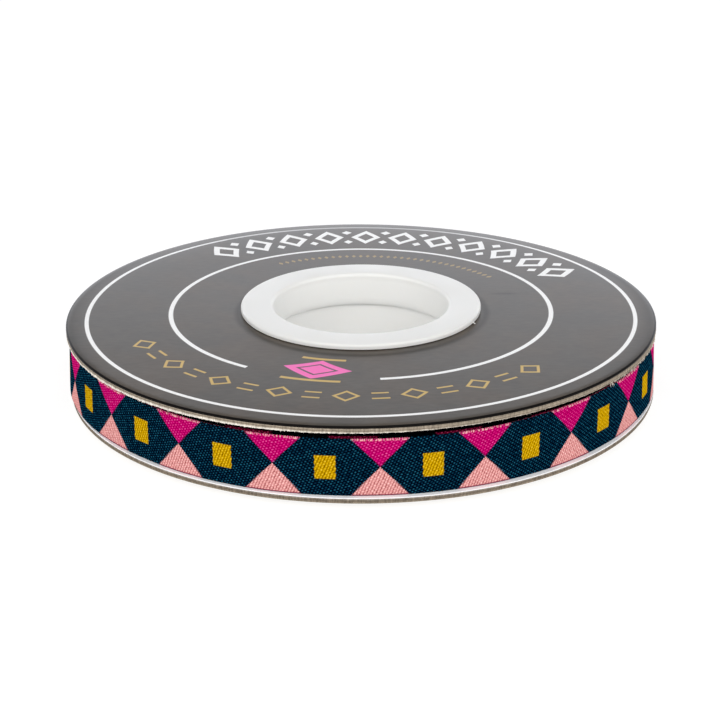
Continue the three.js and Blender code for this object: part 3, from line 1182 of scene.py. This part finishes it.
def finish_piece(bm: bmesh.types.BMesh, name: str, material: bpy.types.Material,
                 nodes: Iterable[str] = (), sharp: float = SHARP) -> bpy.types.Object:
    """Brings a mesh to metres and makes it a piece of the reel.

    Args:
        bm: the mesh in millimetres, which is freed.
        name: the piece's name.
        material: its finish.
        nodes: the CAD nodes that it stands for.
        sharp: edges that turn by more than this many degrees stay sharp.

    Returns:
        The new object.
    """
    bmesh.ops.scale(bm, vec=(MM, MM, MM), verts=bm.verts)
    limit = math.radians(sharp)
    for edge in bm.edges:
        edge.smooth = edge.calc_face_angle(0.0) < limit
    for face in bm.faces:
        face.smooth = True
    mesh = bpy.data.meshes.new(name)
    bm.to_mesh(mesh)
    bm.free()
    mesh.materials.append(material)
    piece = bpy.data.objects.new(name, mesh)
    bpy.context.scene.collection.objects.link(piece)
    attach(piece, "root")
    if nodes:
        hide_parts(*nodes)
    LOG.info("%s: %d faces", name, len(mesh.polygons))
    return piece


def stand_cone(bm: bmesh.types.BMesh, foot: Vector, heading: Vector, length: float, ends: Point,
               sides: int) -> None:
    """Adds a closed cone that stands on a point.

    Args:
        bm: the mesh that it goes into.
        foot: the middle of its foot.
        heading: which way it points, as a unit vector.
        length: its length.
        ends: its radius at the foot and at the tip.
        sides: how many sides it has.
    """
    turned_to = heading.to_track_quat("Z", "Y").to_matrix().to_4x4()
    bmesh.ops.create_cone(bm, cap_ends=True, segments=sides, radius1=ends[0], radius2=ends[1], depth=length,
                          matrix=Matrix.Translation(foot + heading * length / 2) @ turned_to)


@dataclass(frozen=True)
class Levels:
    """Heights of the reel's layers above the surface that it rests on, and the sizes that they come from."""

    flange: float = 1.1
    board: float = 1.07
    paper: float = 0.18
    ribbon: float = 10.0
    headroom: float = 1.37
    radius: float = 55.0
    upper_press: float = 0.28
    lower_press: float = 0.4

    @property
    def lower_board(self) -> float:
        """Underside of the lower board."""
        return self.flange

    @property
    def facing(self) -> float:
        """Underside of the white facing."""
        return self.lower_board + self.board

    @property
    def ribbon_base(self) -> float:
        """Lower edge of the ribbon."""
        return self.facing + self.paper

    @property
    def ribbon_top(self) -> float:
        """Upper edge of the last turn."""
        return self.ribbon_base + self.ribbon

    @property
    def upper_board(self) -> float:
        """Underside of the upper board."""
        return self.ribbon_top + self.headroom

    @property
    def label(self) -> float:
        """Underside of the label."""
        return self.upper_board + self.board

    @property
    def hub_seat(self) -> float:
        """Top of the label, where the hub's flange sits."""
        return self.label + self.paper

    @property
    def top(self) -> float:
        """Top of the hub."""
        return self.hub_seat + self.flange


LEVELS = Levels()


@dataclass
class Hub:
    """Moulded hub: the tube of the upper half plugs into the tube of the lower half."""

    flange_radius: float = 22.6
    edge_round: float = 0.5
    edge_steps: int = 8
    edge_chamfer: float = 0.05
    relief_reach: float = 1.6
    relief_height: float = 0.14
    lip_round: float = 0.7
    lip_steps: int = 16
    groove_depth: float = 0.07
    groove_height: float = 0.9
    clearance: float = 0.3
    plug_bore_top: float = 16.5
    plug_bore_end: float = 16.3
    plug_outside: float = 17.1
    plug_depth: float = 6.6
    plug_round: float = 1.7
    plug_flare: float = 0.7
    plug_steps: int = 12
    socket_outside: float = 18.3
    corner: float = 0.2
    corner_steps: int = 4
    steps: int = 216
    flash_azimuth: float = -25.0
    flash_width: float = 0.24
    flash_tip: float = 0.06
    flash_length: float = 0.85
    flash_height: float = 0.5
    flash_droop: float = 0.5
    flash_sides: int = 6
    finish: MouldedPolypropylene = field(default_factory=MouldedPolypropylene)

    @property
    def socket_bore(self) -> float:
        """Radius of the socket tube's bore."""
        return self.plug_outside + self.clearance

    def plug_end(self) -> Section:
        """Gives the rounded end of the plug, from its bore outwards and down.

        Returns:
            The corners of its section.
        """
        base = LEVELS.top - self.plug_depth
        turns = [math.pi / 2 * step / self.plug_steps for step in range(self.plug_steps + 1)]
        return [(self.plug_bore_end + self.plug_flare * (1 - math.cos(turn)),
                 base + self.plug_round * (1 - math.sin(turn))) for turn in turns]

    def upper_section(self) -> Section:
        """Gives the section of the upper half, from the end of its plug round to its lip.

        Returns:
            The section's corners.
        """
        seat = LEVELS.hub_seat
        step_radius = self.flange_radius - self.relief_reach
        rim_base = seat + self.relief_height
        edge_centre = (self.flange_radius - self.edge_round, LEVELS.top - self.edge_round)
        lip_centre = (self.plug_bore_top + self.lip_round, LEVELS.top - self.lip_round)
        return [
            *self.plug_end(),
            (self.plug_outside, LEVELS.top - self.plug_depth + self.corner),
            (self.plug_outside, seat),
            (step_radius, seat),
            (step_radius, rim_base),
            (self.flange_radius - self.edge_chamfer, rim_base),
            (self.flange_radius, rim_base + self.edge_chamfer),
            *arc(edge_centre, self.edge_round, 0, 90, self.edge_steps),
            *arc(lip_centre, self.lip_round, 90, 180, self.lip_steps),
            (self.plug_bore_top + self.groove_depth, lip_centre[1] - self.groove_height / 2),
            (self.plug_bore_top, lip_centre[1] - self.groove_height),
        ]

    def lower_section(self) -> Section:
        """Gives the section of the lower half, from the mouth of its bore round to the top of its socket.

        Returns:
            The section's corners.
        """
        tip = self.corner
        corner_height = LEVELS.hub_seat - self.clearance - tip
        lip_centre = (self.socket_bore + self.lip_round, self.lip_round)
        edge_centre = (self.flange_radius - self.edge_round, self.edge_round)
        return [
            *arc(lip_centre, self.lip_round, 180, 270, self.lip_steps),
            *arc(edge_centre, self.edge_round, 270, 360, self.edge_steps),
            (self.flange_radius, LEVELS.flange),
            (self.socket_outside, LEVELS.flange),
            *arc((self.socket_outside - tip, corner_height), tip, 0, 90, self.corner_steps),
            *arc((self.socket_bore + tip, corner_height), tip, 90, 180, self.corner_steps),
        ]

    def leave_flash(self, bm: bmesh.types.BMesh) -> None:
        """Leaves the small tag of moulding flash at the upper flange's edge.

        Args:
            bm: the upper half's mesh.
        """
        turn = math.radians(self.flash_azimuth)
        outwards = Vector((math.cos(turn), math.sin(turn), 0))
        heading = (outwards - Vector((0, 0, self.flash_droop))).normalized()
        height = LEVELS.hub_seat + self.flash_height
        foot = outwards * (self.flange_radius - self.flash_width) + Vector((0, 0, height))
        ends = (self.flash_width, self.flash_tip)
        stand_cone(bm, foot, heading, self.flash_length, ends, self.flash_sides)

    def build(self) -> None:
        """Builds and dresses both halves."""
        plastic = self.finish.make()
        upper = turned(self.upper_section(), self.steps)
        self.leave_flash(upper)
        finish_piece(upper, "hub_upper_moulding", plastic, ["hub_upper_half"])
        finish_piece(turned(self.lower_section(), self.steps), "hub_lower_moulding", plastic,
                     ["hub_lower_half"])


@dataclass(frozen=True)
class FibrePatch:
    """How many fibres stand about one azimuth, within how many degrees of it, and how long they are."""

    azimuth: float
    spread: float
    count: int
    length: Point = (0.18, 0.45)


@dataclass(frozen=True)
class CutFibres:
    """Paper fibres that the die leaves standing along the lip of a cut edge.

    Each pair of values is a range. The outward, sideways and downward ranges mix to a fibre's heading.
    """

    patches: tuple[FibrePatch, ...]
    thickness: Point = (0.04, 0.085)
    tip_share: float = 1 / 3
    outward: Point = (0.2, 1.0)
    sideways: Point = (-0.9, 0.9)
    downward: Point = (0.3, 1.2)
    root: float = 0.08
    sides: int = 4
    seed: int = 11

    def grow(self, bm: bmesh.types.BMesh, lip: Callable[[float], Point]) -> None:
        """Adds the fibres, each rooted in the board.

        Args:
            bm: the board's mesh in millimetres.
            lip: gives the lip's radius and height at an azimuth.
        """
        chooser = random.Random(self.seed)
        # Small operators are slow on a large mesh, so the fibres come in from a mesh of their own.
        fibres = bmesh.new()
        for patch in self.patches:
            for _ in range(patch.count):
                azimuth = patch.azimuth + patch.spread * chooser.uniform(-1, 1)
                radius, level = lip(azimuth)
                turn = math.radians(azimuth)
                outwards = Vector((math.cos(turn), math.sin(turn), 0))
                sideways = Vector((-math.sin(turn), math.cos(turn), 0))
                heading = outwards * chooser.uniform(*self.outward)
                heading += sideways * chooser.uniform(*self.sideways)
                heading -= Vector((0, 0, chooser.uniform(*self.downward)))
                length = chooser.uniform(*patch.length)
                thick = chooser.uniform(*self.thickness)
                foot = outwards * (radius - self.root) + Vector((0, 0, level + self.root))
                ends = (thick, thick * self.tip_share)
                stand_cone(fibres, foot, heading.normalized(), length, ends, self.sides)
        loose = bpy.data.meshes.new("cut_fibres")
        fibres.to_mesh(loose)
        fibres.free()
        bm.from_mesh(loose)
        bpy.data.meshes.remove(loose)


@dataclass
class BoardDisc:
    """What the two greyboard discs share: a die-cut rim whose outer face is pressed."""

    bore: float
    shoulder_reach: float = 1.3
    shoulder_drop: float = LEVELS.upper_press
    shoulder_steps: int = 8
    radii: tuple[float, ...] = (23.5, 28.0, 34.0, 39.0, 44.0, 49.0)
    edge_rows: int = 6
    steps: int = 900
    sheet_steps: int = 360
    ragged_radius: float = 60.0
    ragged_rate: float = 1.2

    def shoulder(self, level: float, side: int) -> Section:
        """Gives the pressed rim of a sheet, from its flat outwards.

        Args:
            level: height of the sheet's flat.
            side: 1 where the rim is pressed down, -1 where it is pressed up.

        Returns:
            The corners of its section.
        """
        turns = [math.pi / 2 * step / self.shoulder_steps for step in range(self.shoulder_steps + 1)]
        return [(LEVELS.radius - self.shoulder_reach * (1 - math.sin(turn)),
                 level - side * self.shoulder_drop * (1 - math.cos(turn))) for turn in turns]

    def flat(self, level: float) -> Section:
        """Gives the flat of a sheet from its bore outwards."""
        return [(radius, level) for radius in (self.bore, *self.radii)]

    def cut_edge(self, base: float, top: float) -> Section:
        """Gives the cut edge between two heights, its own ends left out."""
        rise = (top - base) / self.edge_rows
        return [(LEVELS.radius, base + rise * row) for row in range(1, self.edge_rows)]

    def rim_place(self, azimuth: float, height: float) -> Vector:
        """Gives a place on the rim for a noise, which then has no seam."""
        turn = math.radians(azimuth)
        return Vector((math.cos(turn) * self.ragged_radius, math.sin(turn) * self.ragged_radius, height))


@dataclass
class UpperDisc(BoardDisc):
    """Upper greyboard disc and its printed label, with the slight saddle twist that the board has taken."""

    bore: float = 18.6
    edge_rows: int = 7
    steps: int = 1440
    twist_height: float = 0.2
    twist_start: float = 23.5
    far_press: float = 0.3
    far_press_start: float = 50.0
    ragged: float = 0.08
    ragged_top: float = 0.3
    torn_rate: float = 3.4
    torn_share: float = 0.5
    wavy_rate: float = 2.4
    pulp: GreyboardPulp = GreyboardPulp(
        "die_cut_greyboard_upper", "#b9b0a2",
        ((0.0, "#ece5da"), (0.2, "#c4baab"), (0.34, "#9c9080"), (0.5, "#7a6e60"), (0.62, "#9a8e7e"),
         (0.8, "#a09484"), (1.0, "#8a7f70")),
        LEVELS.upper_board, LEVELS.label - LEVELS.upper_press)
    print: PrintedLabel = field(default_factory=PrintedLabel)
    fibres: CutFibres = CutFibres((
        FibrePatch(0, 180, 110, (0.1, 0.26)),
        FibrePatch(-27, 12, 210),
        FibrePatch(-31.5, 0.5, 5, (0.5, 0.8)),
        FibrePatch(-40, 0.25, 4, (0.7, 1.0)),
        FibrePatch(-62, 7, 26, (0.12, 0.3)),
        FibrePatch(-118, 22, 46, (0.12, 0.34)),
    ))

    def twist(self, radius: float, azimuth: float, height: float) -> Point:
        """Moves a point by the saddle twist, none at the hub and most at the rim, which is bent down behind.

        Args:
            radius: the point's radius.
            azimuth: its azimuth in degrees.
            height: its height.

        Returns:
            Its new radius and height.
        """
        reach = (radius ** 2 - self.twist_start ** 2) / (LEVELS.radius ** 2 - self.twist_start ** 2)
        edge = max(radius - self.far_press_start, 0.0) / (LEVELS.radius - self.far_press_start)
        height -= self.far_press * edge ** 2 * max(math.sin(math.radians(azimuth)), 0.0)
        return radius, height - self.twist_height * max(reach, 0.0) * math.sin(math.radians(2 * azimuth))

    def rag(self, radius: float, azimuth: float, height: float) -> Point:
        """Roughens the cut edge, most at its lower lip, and twists the sheet.

        Args:
            radius: the point's radius.
            azimuth: its azimuth in degrees.
            height: its height.

        Returns:
            Its new radius and height.
        """
        if radius > LEVELS.radius - MERGE_DISTANCE and height < LEVELS.label - self.shoulder_drop:
            place = self.rim_place(azimuth, height)
            low = 1 - (height - LEVELS.upper_board) / (LEVELS.board - self.shoulder_drop)
            torn = self.torn_share * noise.noise(place * self.torn_rate)
            radius += self.ragged * (self.ragged_top + low) * (noise.noise(place * self.ragged_rate) + torn)
            height += self.ragged * low * noise.noise(place * self.wavy_rate)
        return self.twist(radius, azimuth, height)

    def build(self) -> None:
        """Builds and dresses the board and its label."""
        press = self.shoulder(LEVELS.label, 1)
        underside = [*self.flat(LEVELS.upper_board), (LEVELS.radius, LEVELS.upper_board)]
        edge = self.cut_edge(LEVELS.upper_board, press[-1][1])
        face = [*self.flat(LEVELS.label), *press][::-1]
        board = turned([*underside, *edge, *face], self.steps)
        reshape(board, self.rag)
        self.fibres.grow(board, lambda azimuth: self.twist(LEVELS.radius, azimuth, LEVELS.upper_board))
        finish_piece(board, "upper_greyboard", self.pulp.make(), ["upper_board"])
        sheet_under = [*self.flat(LEVELS.label), *press]
        sheet_face = [*self.flat(LEVELS.hub_seat), *self.shoulder(LEVELS.hub_seat, 1)][::-1]
        label = turned([*sheet_under, *sheet_face], self.sheet_steps)
        reshape(label, self.twist)
        finish_piece(label, "printed_label", self.print.make(), ["upper_label"])


@dataclass
class LowerDisc(BoardDisc):
    """Lower greyboard disc, its rim pressed up from below, and its white facing.

    Both are set a little to one side, in the play of their bore.
    """

    bore: float = 18.9
    shoulder_drop: float = LEVELS.lower_press
    slip: float = 0.3
    ragged: float = 0.04
    facing_chamfer: float = 0.05
    facing_inset: float = 0.03
    pulp: GreyboardPulp = GreyboardPulp(
        "die_cut_greyboard_lower", "#b3aa9c",
        ((0.0, "#908473"), (0.25, "#7a6e5f"), (0.5, "#6c6154"), (0.75, "#84796c"), (1.0, "#9c9187")),
        LEVELS.lower_board + LEVELS.lower_press, LEVELS.facing)
    paper: CoatedPaper = field(default_factory=CoatedPaper)

    def rag(self, radius: float, azimuth: float, height: float) -> Point:
        """Roughens the cut edge.

        Args:
            radius: the point's radius.
            azimuth: its azimuth in degrees.
            height: its height.

        Returns:
            Its new radius and height.
        """
        if radius > LEVELS.radius - MERGE_DISTANCE and height < LEVELS.facing - MERGE_DISTANCE:
            radius += self.ragged * noise.noise(self.rim_place(azimuth, height) * self.ragged_rate)
        return radius, height

    def facing_section(self) -> Section:
        """Gives the section of the white facing, whose cut edge is a little rounded.

        Returns:
            The section's corners.
        """
        cut = self.facing_chamfer
        return [
            (self.bore, LEVELS.facing),
            (LEVELS.radius - self.facing_inset, LEVELS.facing),
            (LEVELS.radius, LEVELS.facing + cut),
            (LEVELS.radius, LEVELS.ribbon_base - cut),
            (LEVELS.radius - cut, LEVELS.ribbon_base),
            (self.bore, LEVELS.ribbon_base),
        ]

    def build(self) -> None:
        """Builds and dresses the board and its facing."""
        press = self.shoulder(LEVELS.lower_board, -1)
        underside = [*self.flat(LEVELS.lower_board), *press]
        edge = self.cut_edge(press[-1][1], LEVELS.facing)
        face = [*self.flat(LEVELS.facing), (LEVELS.radius, LEVELS.facing)][::-1]
        board = turned([*underside, *edge, *face], self.steps)
        reshape(board, self.rag)
        facing = turned(self.facing_section(), self.sheet_steps)
        for bm in (board, facing):
            bmesh.ops.translate(bm, vec=(self.slip, 0, 0), verts=bm.verts)
        finish_piece(board, "lower_greyboard", self.pulp.make(), ["lower_board"])
        finish_piece(facing, "white_facing", self.paper.make(), ["lower_facing"])


@dataclass(frozen=True)
class TurnRow:
    """Where the last turn runs at one azimuth: its radius, and how far its upper edge has ridden up."""

    azimuth: float
    radius: float
    lift: float


@dataclass
class RibbonRoll:
    """The wound ribbon: the last two turns as one strip, and the inner turns, which stand higher."""

    cut_azimuth: float = 97.0
    pitch: float = 0.4
    thickness: float = 0.37
    round_angles: tuple[int, ...] = (30, 60, 90, 120, 150)
    sharp: float = 60.0
    cloth: WovenJacquard = field(default_factory=WovenJacquard)
    # Painted shade: a darker copy of the cloth for the inner turns, which lie in the upper board's shade;
    # only a narrow painted lit band keeps some colour.
    shaded_cloth: WovenJacquard = field(default_factory=lambda: WovenJacquard(
        ground=ThreadTones("#000003", "#00060a", "#021018", "#0a2028"),
        magenta=ThreadTones("#48041a", "#860a3a", "#aa2656", "#bc4a74"), fleck="#a83050",
        lit_band=(9.08, 9.42)))
    rows: tuple[TurnRow, ...] = (
        TurnRow(0, 55.1, 0.2), TurnRow(30, 54.8, 0.1), TurnRow(60, 54.4, 0),
        TurnRow(90, 54.2, 0), TurnRow(125, 54.4, 0.05), TurnRow(155, 54.65, 0.15),
        TurnRow(190, 54.7, 0.3), TurnRow(205, 54.4, 0.3), TurnRow(225, 54, 0.25),
        TurnRow(250, 54.25, 0.05), TurnRow(270, 54.2, 0), TurnRow(290, 54.25, 0.1),
        TurnRow(310, 54.3, 0.35), TurnRow(330, 54.6, 0.3), TurnRow(345, 55.05, 0.25),
    )

    strip_turns: int = 2
    strip_columns: int = 2400
    face_rows: int = 24
    apex_azimuth: float = -87.03
    apex_radius: float = 54.27
    second_turn_drop: float = 0.2
    second_turn_start: float = 0.9
    side_lean: float = 0.5
    ripple_depth: float = 0.05
    ripple_degrees: float = 7.0
    ripple_height: float = 6.0
    ripple_per_turn: float = 5.0

    bore: float = 18.6
    outer_depth: float = 1.0
    raise_inner: float = 0.6
    outer_rows: int = 12
    outer_inset: float = 0.2
    ridges: int = 9
    ridge_drop: float = 0.05
    ridge_change: Point = (-0.12, 0.05)
    ridge_groove: float = 2.2
    ridge_seed: int = 7
    inner_drop: float = 0.4
    inner_shift: float = -4.3
    turn_shift: float = 8.0
    crest_wave: float = 0.06
    crest_degrees: float = 9.0
    crest_rate: float = 3.0
    steps: int = 720

    def last_turn(self, azimuth: float) -> Point:
        """Gives the last turn's radius and lift on a smooth closed curve through its rows.

        Args:
            azimuth: in degrees.

        Returns:
            Radius and lift.
        """
        turn = azimuth % FULL_TURN
        count = len(self.rows)
        after = next((index for index, row in enumerate(self.rows) if row.azimuth > turn), count)
        window = []
        for index in (after - 2, after - 1, after, after + 1):
            row = self.rows[index % count]
            window.append((row.azimuth + FULL_TURN * (index // count), row.radius, row.lift))
        (a0, *before), (a1, *first), (a2, *second), (a3, *last) = window
        gap = a2 - a1
        t = (turn - a1) / gap
        values = []
        for v0, v1, v2, v3 in zip(before, first, second, last):
            start_slope = (v2 - v0) / (a2 - a0) * gap
            end_slope = (v3 - v1) / (a3 - a1) * gap
            values.append(v1 * (2 * t ** 3 - 3 * t ** 2 + 1) + start_slope * (t ** 3 - 2 * t ** 2 + t)
                          + v2 * (3 * t ** 2 - 2 * t ** 3) + end_slope * (t ** 3 - t ** 2))
        return values[0], values[1]

    def strip_section(self) -> Section:
        """Gives the section of the ribbon itself, round its face, upper edge, back and lower edge.

        Returns:
            Its corners, as depth behind the outer face (below zero) and height above the lower edge.
        """
        width = LEVELS.ribbon
        size = self.thickness / 2
        rise = (width - self.thickness) / self.face_rows
        face = [(0.0, size + rise * row) for row in range(self.face_rows + 1)]
        turns = [math.radians(angle) for angle in self.round_angles]
        top = [(-size + size * math.cos(turn), width - size + size * math.sin(turn)) for turn in turns]
        back = [(-self.thickness, width - size), (-self.thickness, size)]
        bottom = [(-size - size * math.cos(turn), size - size * math.sin(turn)) for turn in turns]
        return [*face, *top, *back, *bottom]

    def strip_place(self, share: float, depth: float, height: float) -> tuple[Vector, Point]:
        """Winds a point of the flat strip round the reel.

        Args:
            share: how far along the strip it lies, from 0 at the cut end to 1.
            depth: its depth behind the strip's outer face, below zero.
            height: its height above the strip's lower edge.

        Returns:
            Its place on the reel, and its place on the cloth in millimetres.
        """
        wound = share * self.strip_turns
        azimuth = self.cut_azimuth + wound * FULL_TURN
        turn = math.radians(azimuth)
        radius, lift = self.last_turn(azimuth)
        radius += self.pitch * (0.5 - wound)
        level = height / LEVELS.ribbon
        sunk = max(wound - self.second_turn_start, 0.0) / (1 - self.second_turn_start)
        lift -= self.second_turn_drop * min(sunk, 1.0)
        lean = self.side_lean * abs(math.cos(turn)) ** 3 * (0.5 - level)
        spot = (azimuth / self.ripple_degrees, wound * self.ripple_per_turn, height / self.ripple_height)
        ripple = self.ripple_depth * noise.noise(Vector(spot)) if wound < 1 else 0.0
        place = radius + depth + lean + ripple
        along = math.radians(azimuth - FULL_TURN - self.apex_azimuth) * self.apex_radius
        return (Vector((place * math.cos(turn), place * math.sin(turn),
                        LEVELS.ribbon_base + height + lift * level)), (along, height))

    def build_strip(self, material: bpy.types.Material) -> None:
        """Builds the last two turns: a strip bent from a grid, closed round its section and at both ends.

        Args:
            material: the cloth.
        """
        section = self.strip_section()
        corners = len(section)
        bm = bmesh.new()
        bmesh.ops.create_grid(bm, x_segments=self.strip_columns, y_segments=corners, size=0.5)
        uv = bm.loops.layers.uv.new("cloth_mm")
        spots = {vertex: self.strip_place(vertex.co.x + 0.5,
                                          *section[round((vertex.co.y + 0.5) * corners) % corners])
                 for vertex in bm.verts}
        for face in bm.faces:
            for loop in face.loops:
                loop[uv].uv = spots[loop.vert][1]
        for vertex, (position, _) in spots.items():
            vertex.co = position
        bmesh.ops.remove_doubles(bm, verts=bm.verts, dist=MERGE_DISTANCE)
        bmesh.ops.holes_fill(bm, edges=[edge for edge in bm.edges if edge.is_boundary], sides=0)
        bmesh.ops.recalc_face_normals(bm, faces=bm.faces)
        finish_piece(bm, "ribbon_last_turns", material, ["ribbon_roll"], sharp=self.sharp)

    def wound_section(self, outside: float, base: float) -> Section:
        """Gives the section of the inner turns, whose upper edges are ridges where they can be seen.

        Args:
            outside: radius of their outer face.
            base: height of their lower edge.

        Returns:
            The section's corners.
        """
        top = base + LEVELS.ribbon
        size = self.thickness / 2
        chooser = random.Random(self.ridge_seed)
        crests = [top - self.ridge_drop + chooser.uniform(*self.ridge_change) for _ in range(self.ridges)]
        crests[0] = top
        rise = (LEVELS.ribbon - 2 * self.outer_inset) / self.outer_rows
        outer_face = [(outside, base + self.outer_inset + rise * row) for row in range(self.outer_rows + 1)]
        turns = [math.radians(angle) for angle in self.round_angles]
        ridged = []
        for index, crest in enumerate(crests):
            centre = outside - self.pitch * (index + 0.5)
            ridged += [(centre + size * math.cos(turn), crest - size + size * math.sin(turn))
                       for turn in turns]
            ridged.append((centre - self.pitch / 2, crest - self.ridge_groove * size))
        inner = ridged[-1][0]
        return [*outer_face, *ridged, (self.bore, top - self.inner_drop), (self.bore, base), (inner, base),
                (outside - self.outer_inset, base)]

    def map_cloth(self, bm: bmesh.types.BMesh, outside: float, base: float) -> None:
        """Lays the cloth's UV map on the inner turns, each turn's figures shifted against the next.

        Args:
            bm: their mesh in millimetres.
            outside: radius of their outer face.
            base: height of their lower edge.
        """
        uv = bm.loops.layers.uv.new("cloth_mm")
        for face in bm.faces:
            centre = face.calc_center_median()
            middle = math.degrees(math.atan2(centre.y, centre.x))
            turn_index = max(0, math.floor((outside - math.hypot(centre.x, centre.y)) / self.pitch))
            for loop in face.loops:
                azimuth = math.degrees(math.atan2(loop.vert.co.y, loop.vert.co.x))
                azimuth += FULL_TURN * round((middle - azimuth) / FULL_TURN)
                along = math.radians(azimuth - self.apex_azimuth) * outside
                height = min(max(loop.vert.co.z - base, 0.0), LEVELS.ribbon)
                loop[uv].uv = (along - self.inner_shift + self.turn_shift * turn_index, height)

    def build_wound(self, material: bpy.types.Material) -> None:
        """Builds the inner turns: a ring that follows the last turn.

        Args:
            material: the cloth, darkened as painted shade of the upper board.
        """
        outside = self.rows[0].radius - self.outer_depth
        base = LEVELS.ribbon_base + self.raise_inner
        bm = turned(self.wound_section(outside, base), self.steps)
        self.map_cloth(bm, outside, base)

        def follow(radius: float, azimuth: float, height: float) -> Point:
            """Moves a point in with the last turn, and waves the crests.

            Args:
                radius: the point's radius.
                azimuth: its azimuth in degrees.
                height: its height.

            Returns:
                Its new radius and height.
            """
            turn_radius, _ = self.last_turn(azimuth)
            wound = ((azimuth - self.cut_azimuth) % FULL_TURN) / FULL_TURN
            shift = turn_radius - self.rows[0].radius + self.pitch * (0.5 - wound)
            share = (radius - self.bore) / (outside - self.bore)
            spot = Vector((azimuth / self.crest_degrees, radius * self.crest_rate, 0))
            wave = self.crest_wave * noise.noise(spot) if height > base + LEVELS.ribbon / 2 else 0.0
            return radius + shift * share, height + wave

        reshape(bm, follow)
        finish_piece(bm, "ribbon_inner_turns", material, ["ribbon_roll"], sharp=self.sharp)

    def build(self) -> None:
        """Builds and dresses the whole roll."""
        self.build_strip(self.cloth.make())
        self.build_wound(self.shaded_cloth.make("woven_polyester_jacquard_painted_shade_between_turns"))


@dataclass(frozen=True)
class Softbox:
    """A soft rectangular light: its place and size in metres, its power in watts and its tint."""

    name: str
    where: tuple[float, float, float]
    size: Point
    power: float
    tint: str


@dataclass
class Studio:
    """Pale floor, soft light from all round, and the camera of the photograph.

    The camera's distance and aim are in millimetres; the floor and the lights are in metres.
    """

    distance: float = 302.32
    elevation: float = 21.783
    roll: float = 0.309
    aim: tuple[float, float, float] = (-0.22, -3.71, 5.68)
    lens: float = 80.0
    sensor: float = 36.0
    near_clip: float = 0.01

    floor_size: float = 6.0
    floor: str = "#9a9a9a"
    floor_roughness: float = 0.9
    glow_tint: str = "#ffffff"
    glow: float = 0.79
    # Painted shade: the floor glows less inside the hub's bore.
    bore_shade_glow: float = 0.32
    glow_band: Point = (17.0, 30.0)

    sky: str = "#fbfbfd"
    sky_strength: float = 0.28
    light_target: tuple[float, float, float] = (0.0, 0.0, 0.01)
    softboxes: tuple[Softbox, ...] = (
        Softbox("front_softbox", (-0.05, -0.85, 0.72), (2.6, 0.7), 12.1, "#fffefb"),
        Softbox("back_softbox", (0.0, 1.0, 0.22), (1.9, 0.42), 4.0, "#f2f6ff"),
        Softbox("top_softbox", (0.0, 0.0, 1.1), (0.9, 0.9), 1.55, "#fefeff"),
        Softbox("left_softbox", (-1.0, -0.3, 0.25), (0.8, 0.45), 2.0, "#ffffff"),
        Softbox("right_softbox", (1.0, -0.3, 0.25), (0.8, 0.45), 2.6, "#ffffff"),
    )

    def place_camera(self) -> None:
        """Places the camera on the reel's -Y side, looking down at it."""
        tilt = math.radians(self.elevation)
        lean = math.radians(self.roll)
        forward = Vector((0, math.cos(tilt), -math.sin(tilt)))
        level_right = Vector((1, 0, 0))
        level_up = Vector((0, math.sin(tilt), math.cos(tilt)))
        right = math.cos(lean) * level_right - math.sin(lean) * level_up
        up = math.sin(lean) * level_right + math.cos(lean) * level_up
        data = bpy.data.cameras.new("studio_camera")
        data.lens = self.lens
        data.sensor_width = self.sensor
        data.clip_start = self.near_clip
        camera = bpy.data.objects.new("studio_camera", data)
        turn = Matrix((right, up, -forward)).transposed().to_4x4()
        where = (Vector(self.aim) - forward * self.distance) * MM
        camera.matrix_world = Matrix.Translation(where) @ turn
        bpy.context.scene.collection.objects.link(camera)
        bpy.context.scene.camera = camera

    def lay_floor(self) -> None:
        """Lays a pale floor that glows, as a table lit from below does, and glows less inside the bore as
        painted shade.
        """
        # The table is matt, and its own light drowns most of the reel's shadow.
        material, tree = start_material("white_table")
        glow = add(tree, "ShaderNodeMapRange", Polar.of(tree).radius, *self.glow_band,
                   self.bore_shade_glow, self.glow)
        close_material(tree, {
            "Base Color": linear(self.floor), "Roughness": self.floor_roughness, "Specular IOR Level": 0.0,
            "Emission Color": linear(self.glow_tint), "Emission Strength": glow,
        })
        bm = bmesh.new()
        bmesh.ops.create_grid(bm, x_segments=1, y_segments=1, size=self.floor_size / 2)
        mesh = bpy.data.meshes.new("floor")
        bm.to_mesh(mesh)
        bm.free()
        mesh.materials.append(material)
        floor = bpy.data.objects.new("floor", mesh)
        bpy.context.scene.collection.objects.link(floor)

    def hang_light(self, softbox: Softbox) -> None:
        """Hangs a soft light that faces the reel.

        Args:
            softbox: the light.
        """
        data = bpy.data.lights.new(softbox.name, "AREA")
        data.shape = "RECTANGLE"
        data.size, data.size_y = softbox.size
        data.energy = softbox.power
        data.color = linear(softbox.tint)[:3]
        lamp = bpy.data.objects.new(softbox.name, data)
        position = Vector(softbox.where)
        aim = Vector(self.light_target) - position
        lamp.matrix_world = Matrix.Translation(position) @ aim.to_track_quat("-Z", "Y").to_matrix().to_4x4()
        bpy.context.scene.collection.objects.link(lamp)

    def build(self) -> None:
        """Sets up the camera, the floor and the light."""
        self.place_camera()
        self.lay_floor()
        world = bpy.data.worlds.new("white_studio")
        world.use_nodes = True
        background = world.node_tree.nodes["Background"]
        background.inputs["Color"].default_value = linear(self.sky)
        background.inputs["Strength"].default_value = self.sky_strength
        bpy.context.scene.world = world
        bpy.context.scene.view_settings.view_transform = "Standard"
        for softbox in self.softboxes:
            self.hang_light(softbox)


def main() -> None:
    """Builds the reel around its frame and sets the studio."""
    logging.basicConfig(level=logging.INFO, format="%(name)s %(message)s")
    Studio().build()
    for assembly in (Hub(), LowerDisc(), RibbonRoll(), UpperDisc()):
        assembly.build()
    bpy.context.view_layer.update()


if __name__ == "__main__":
    main()
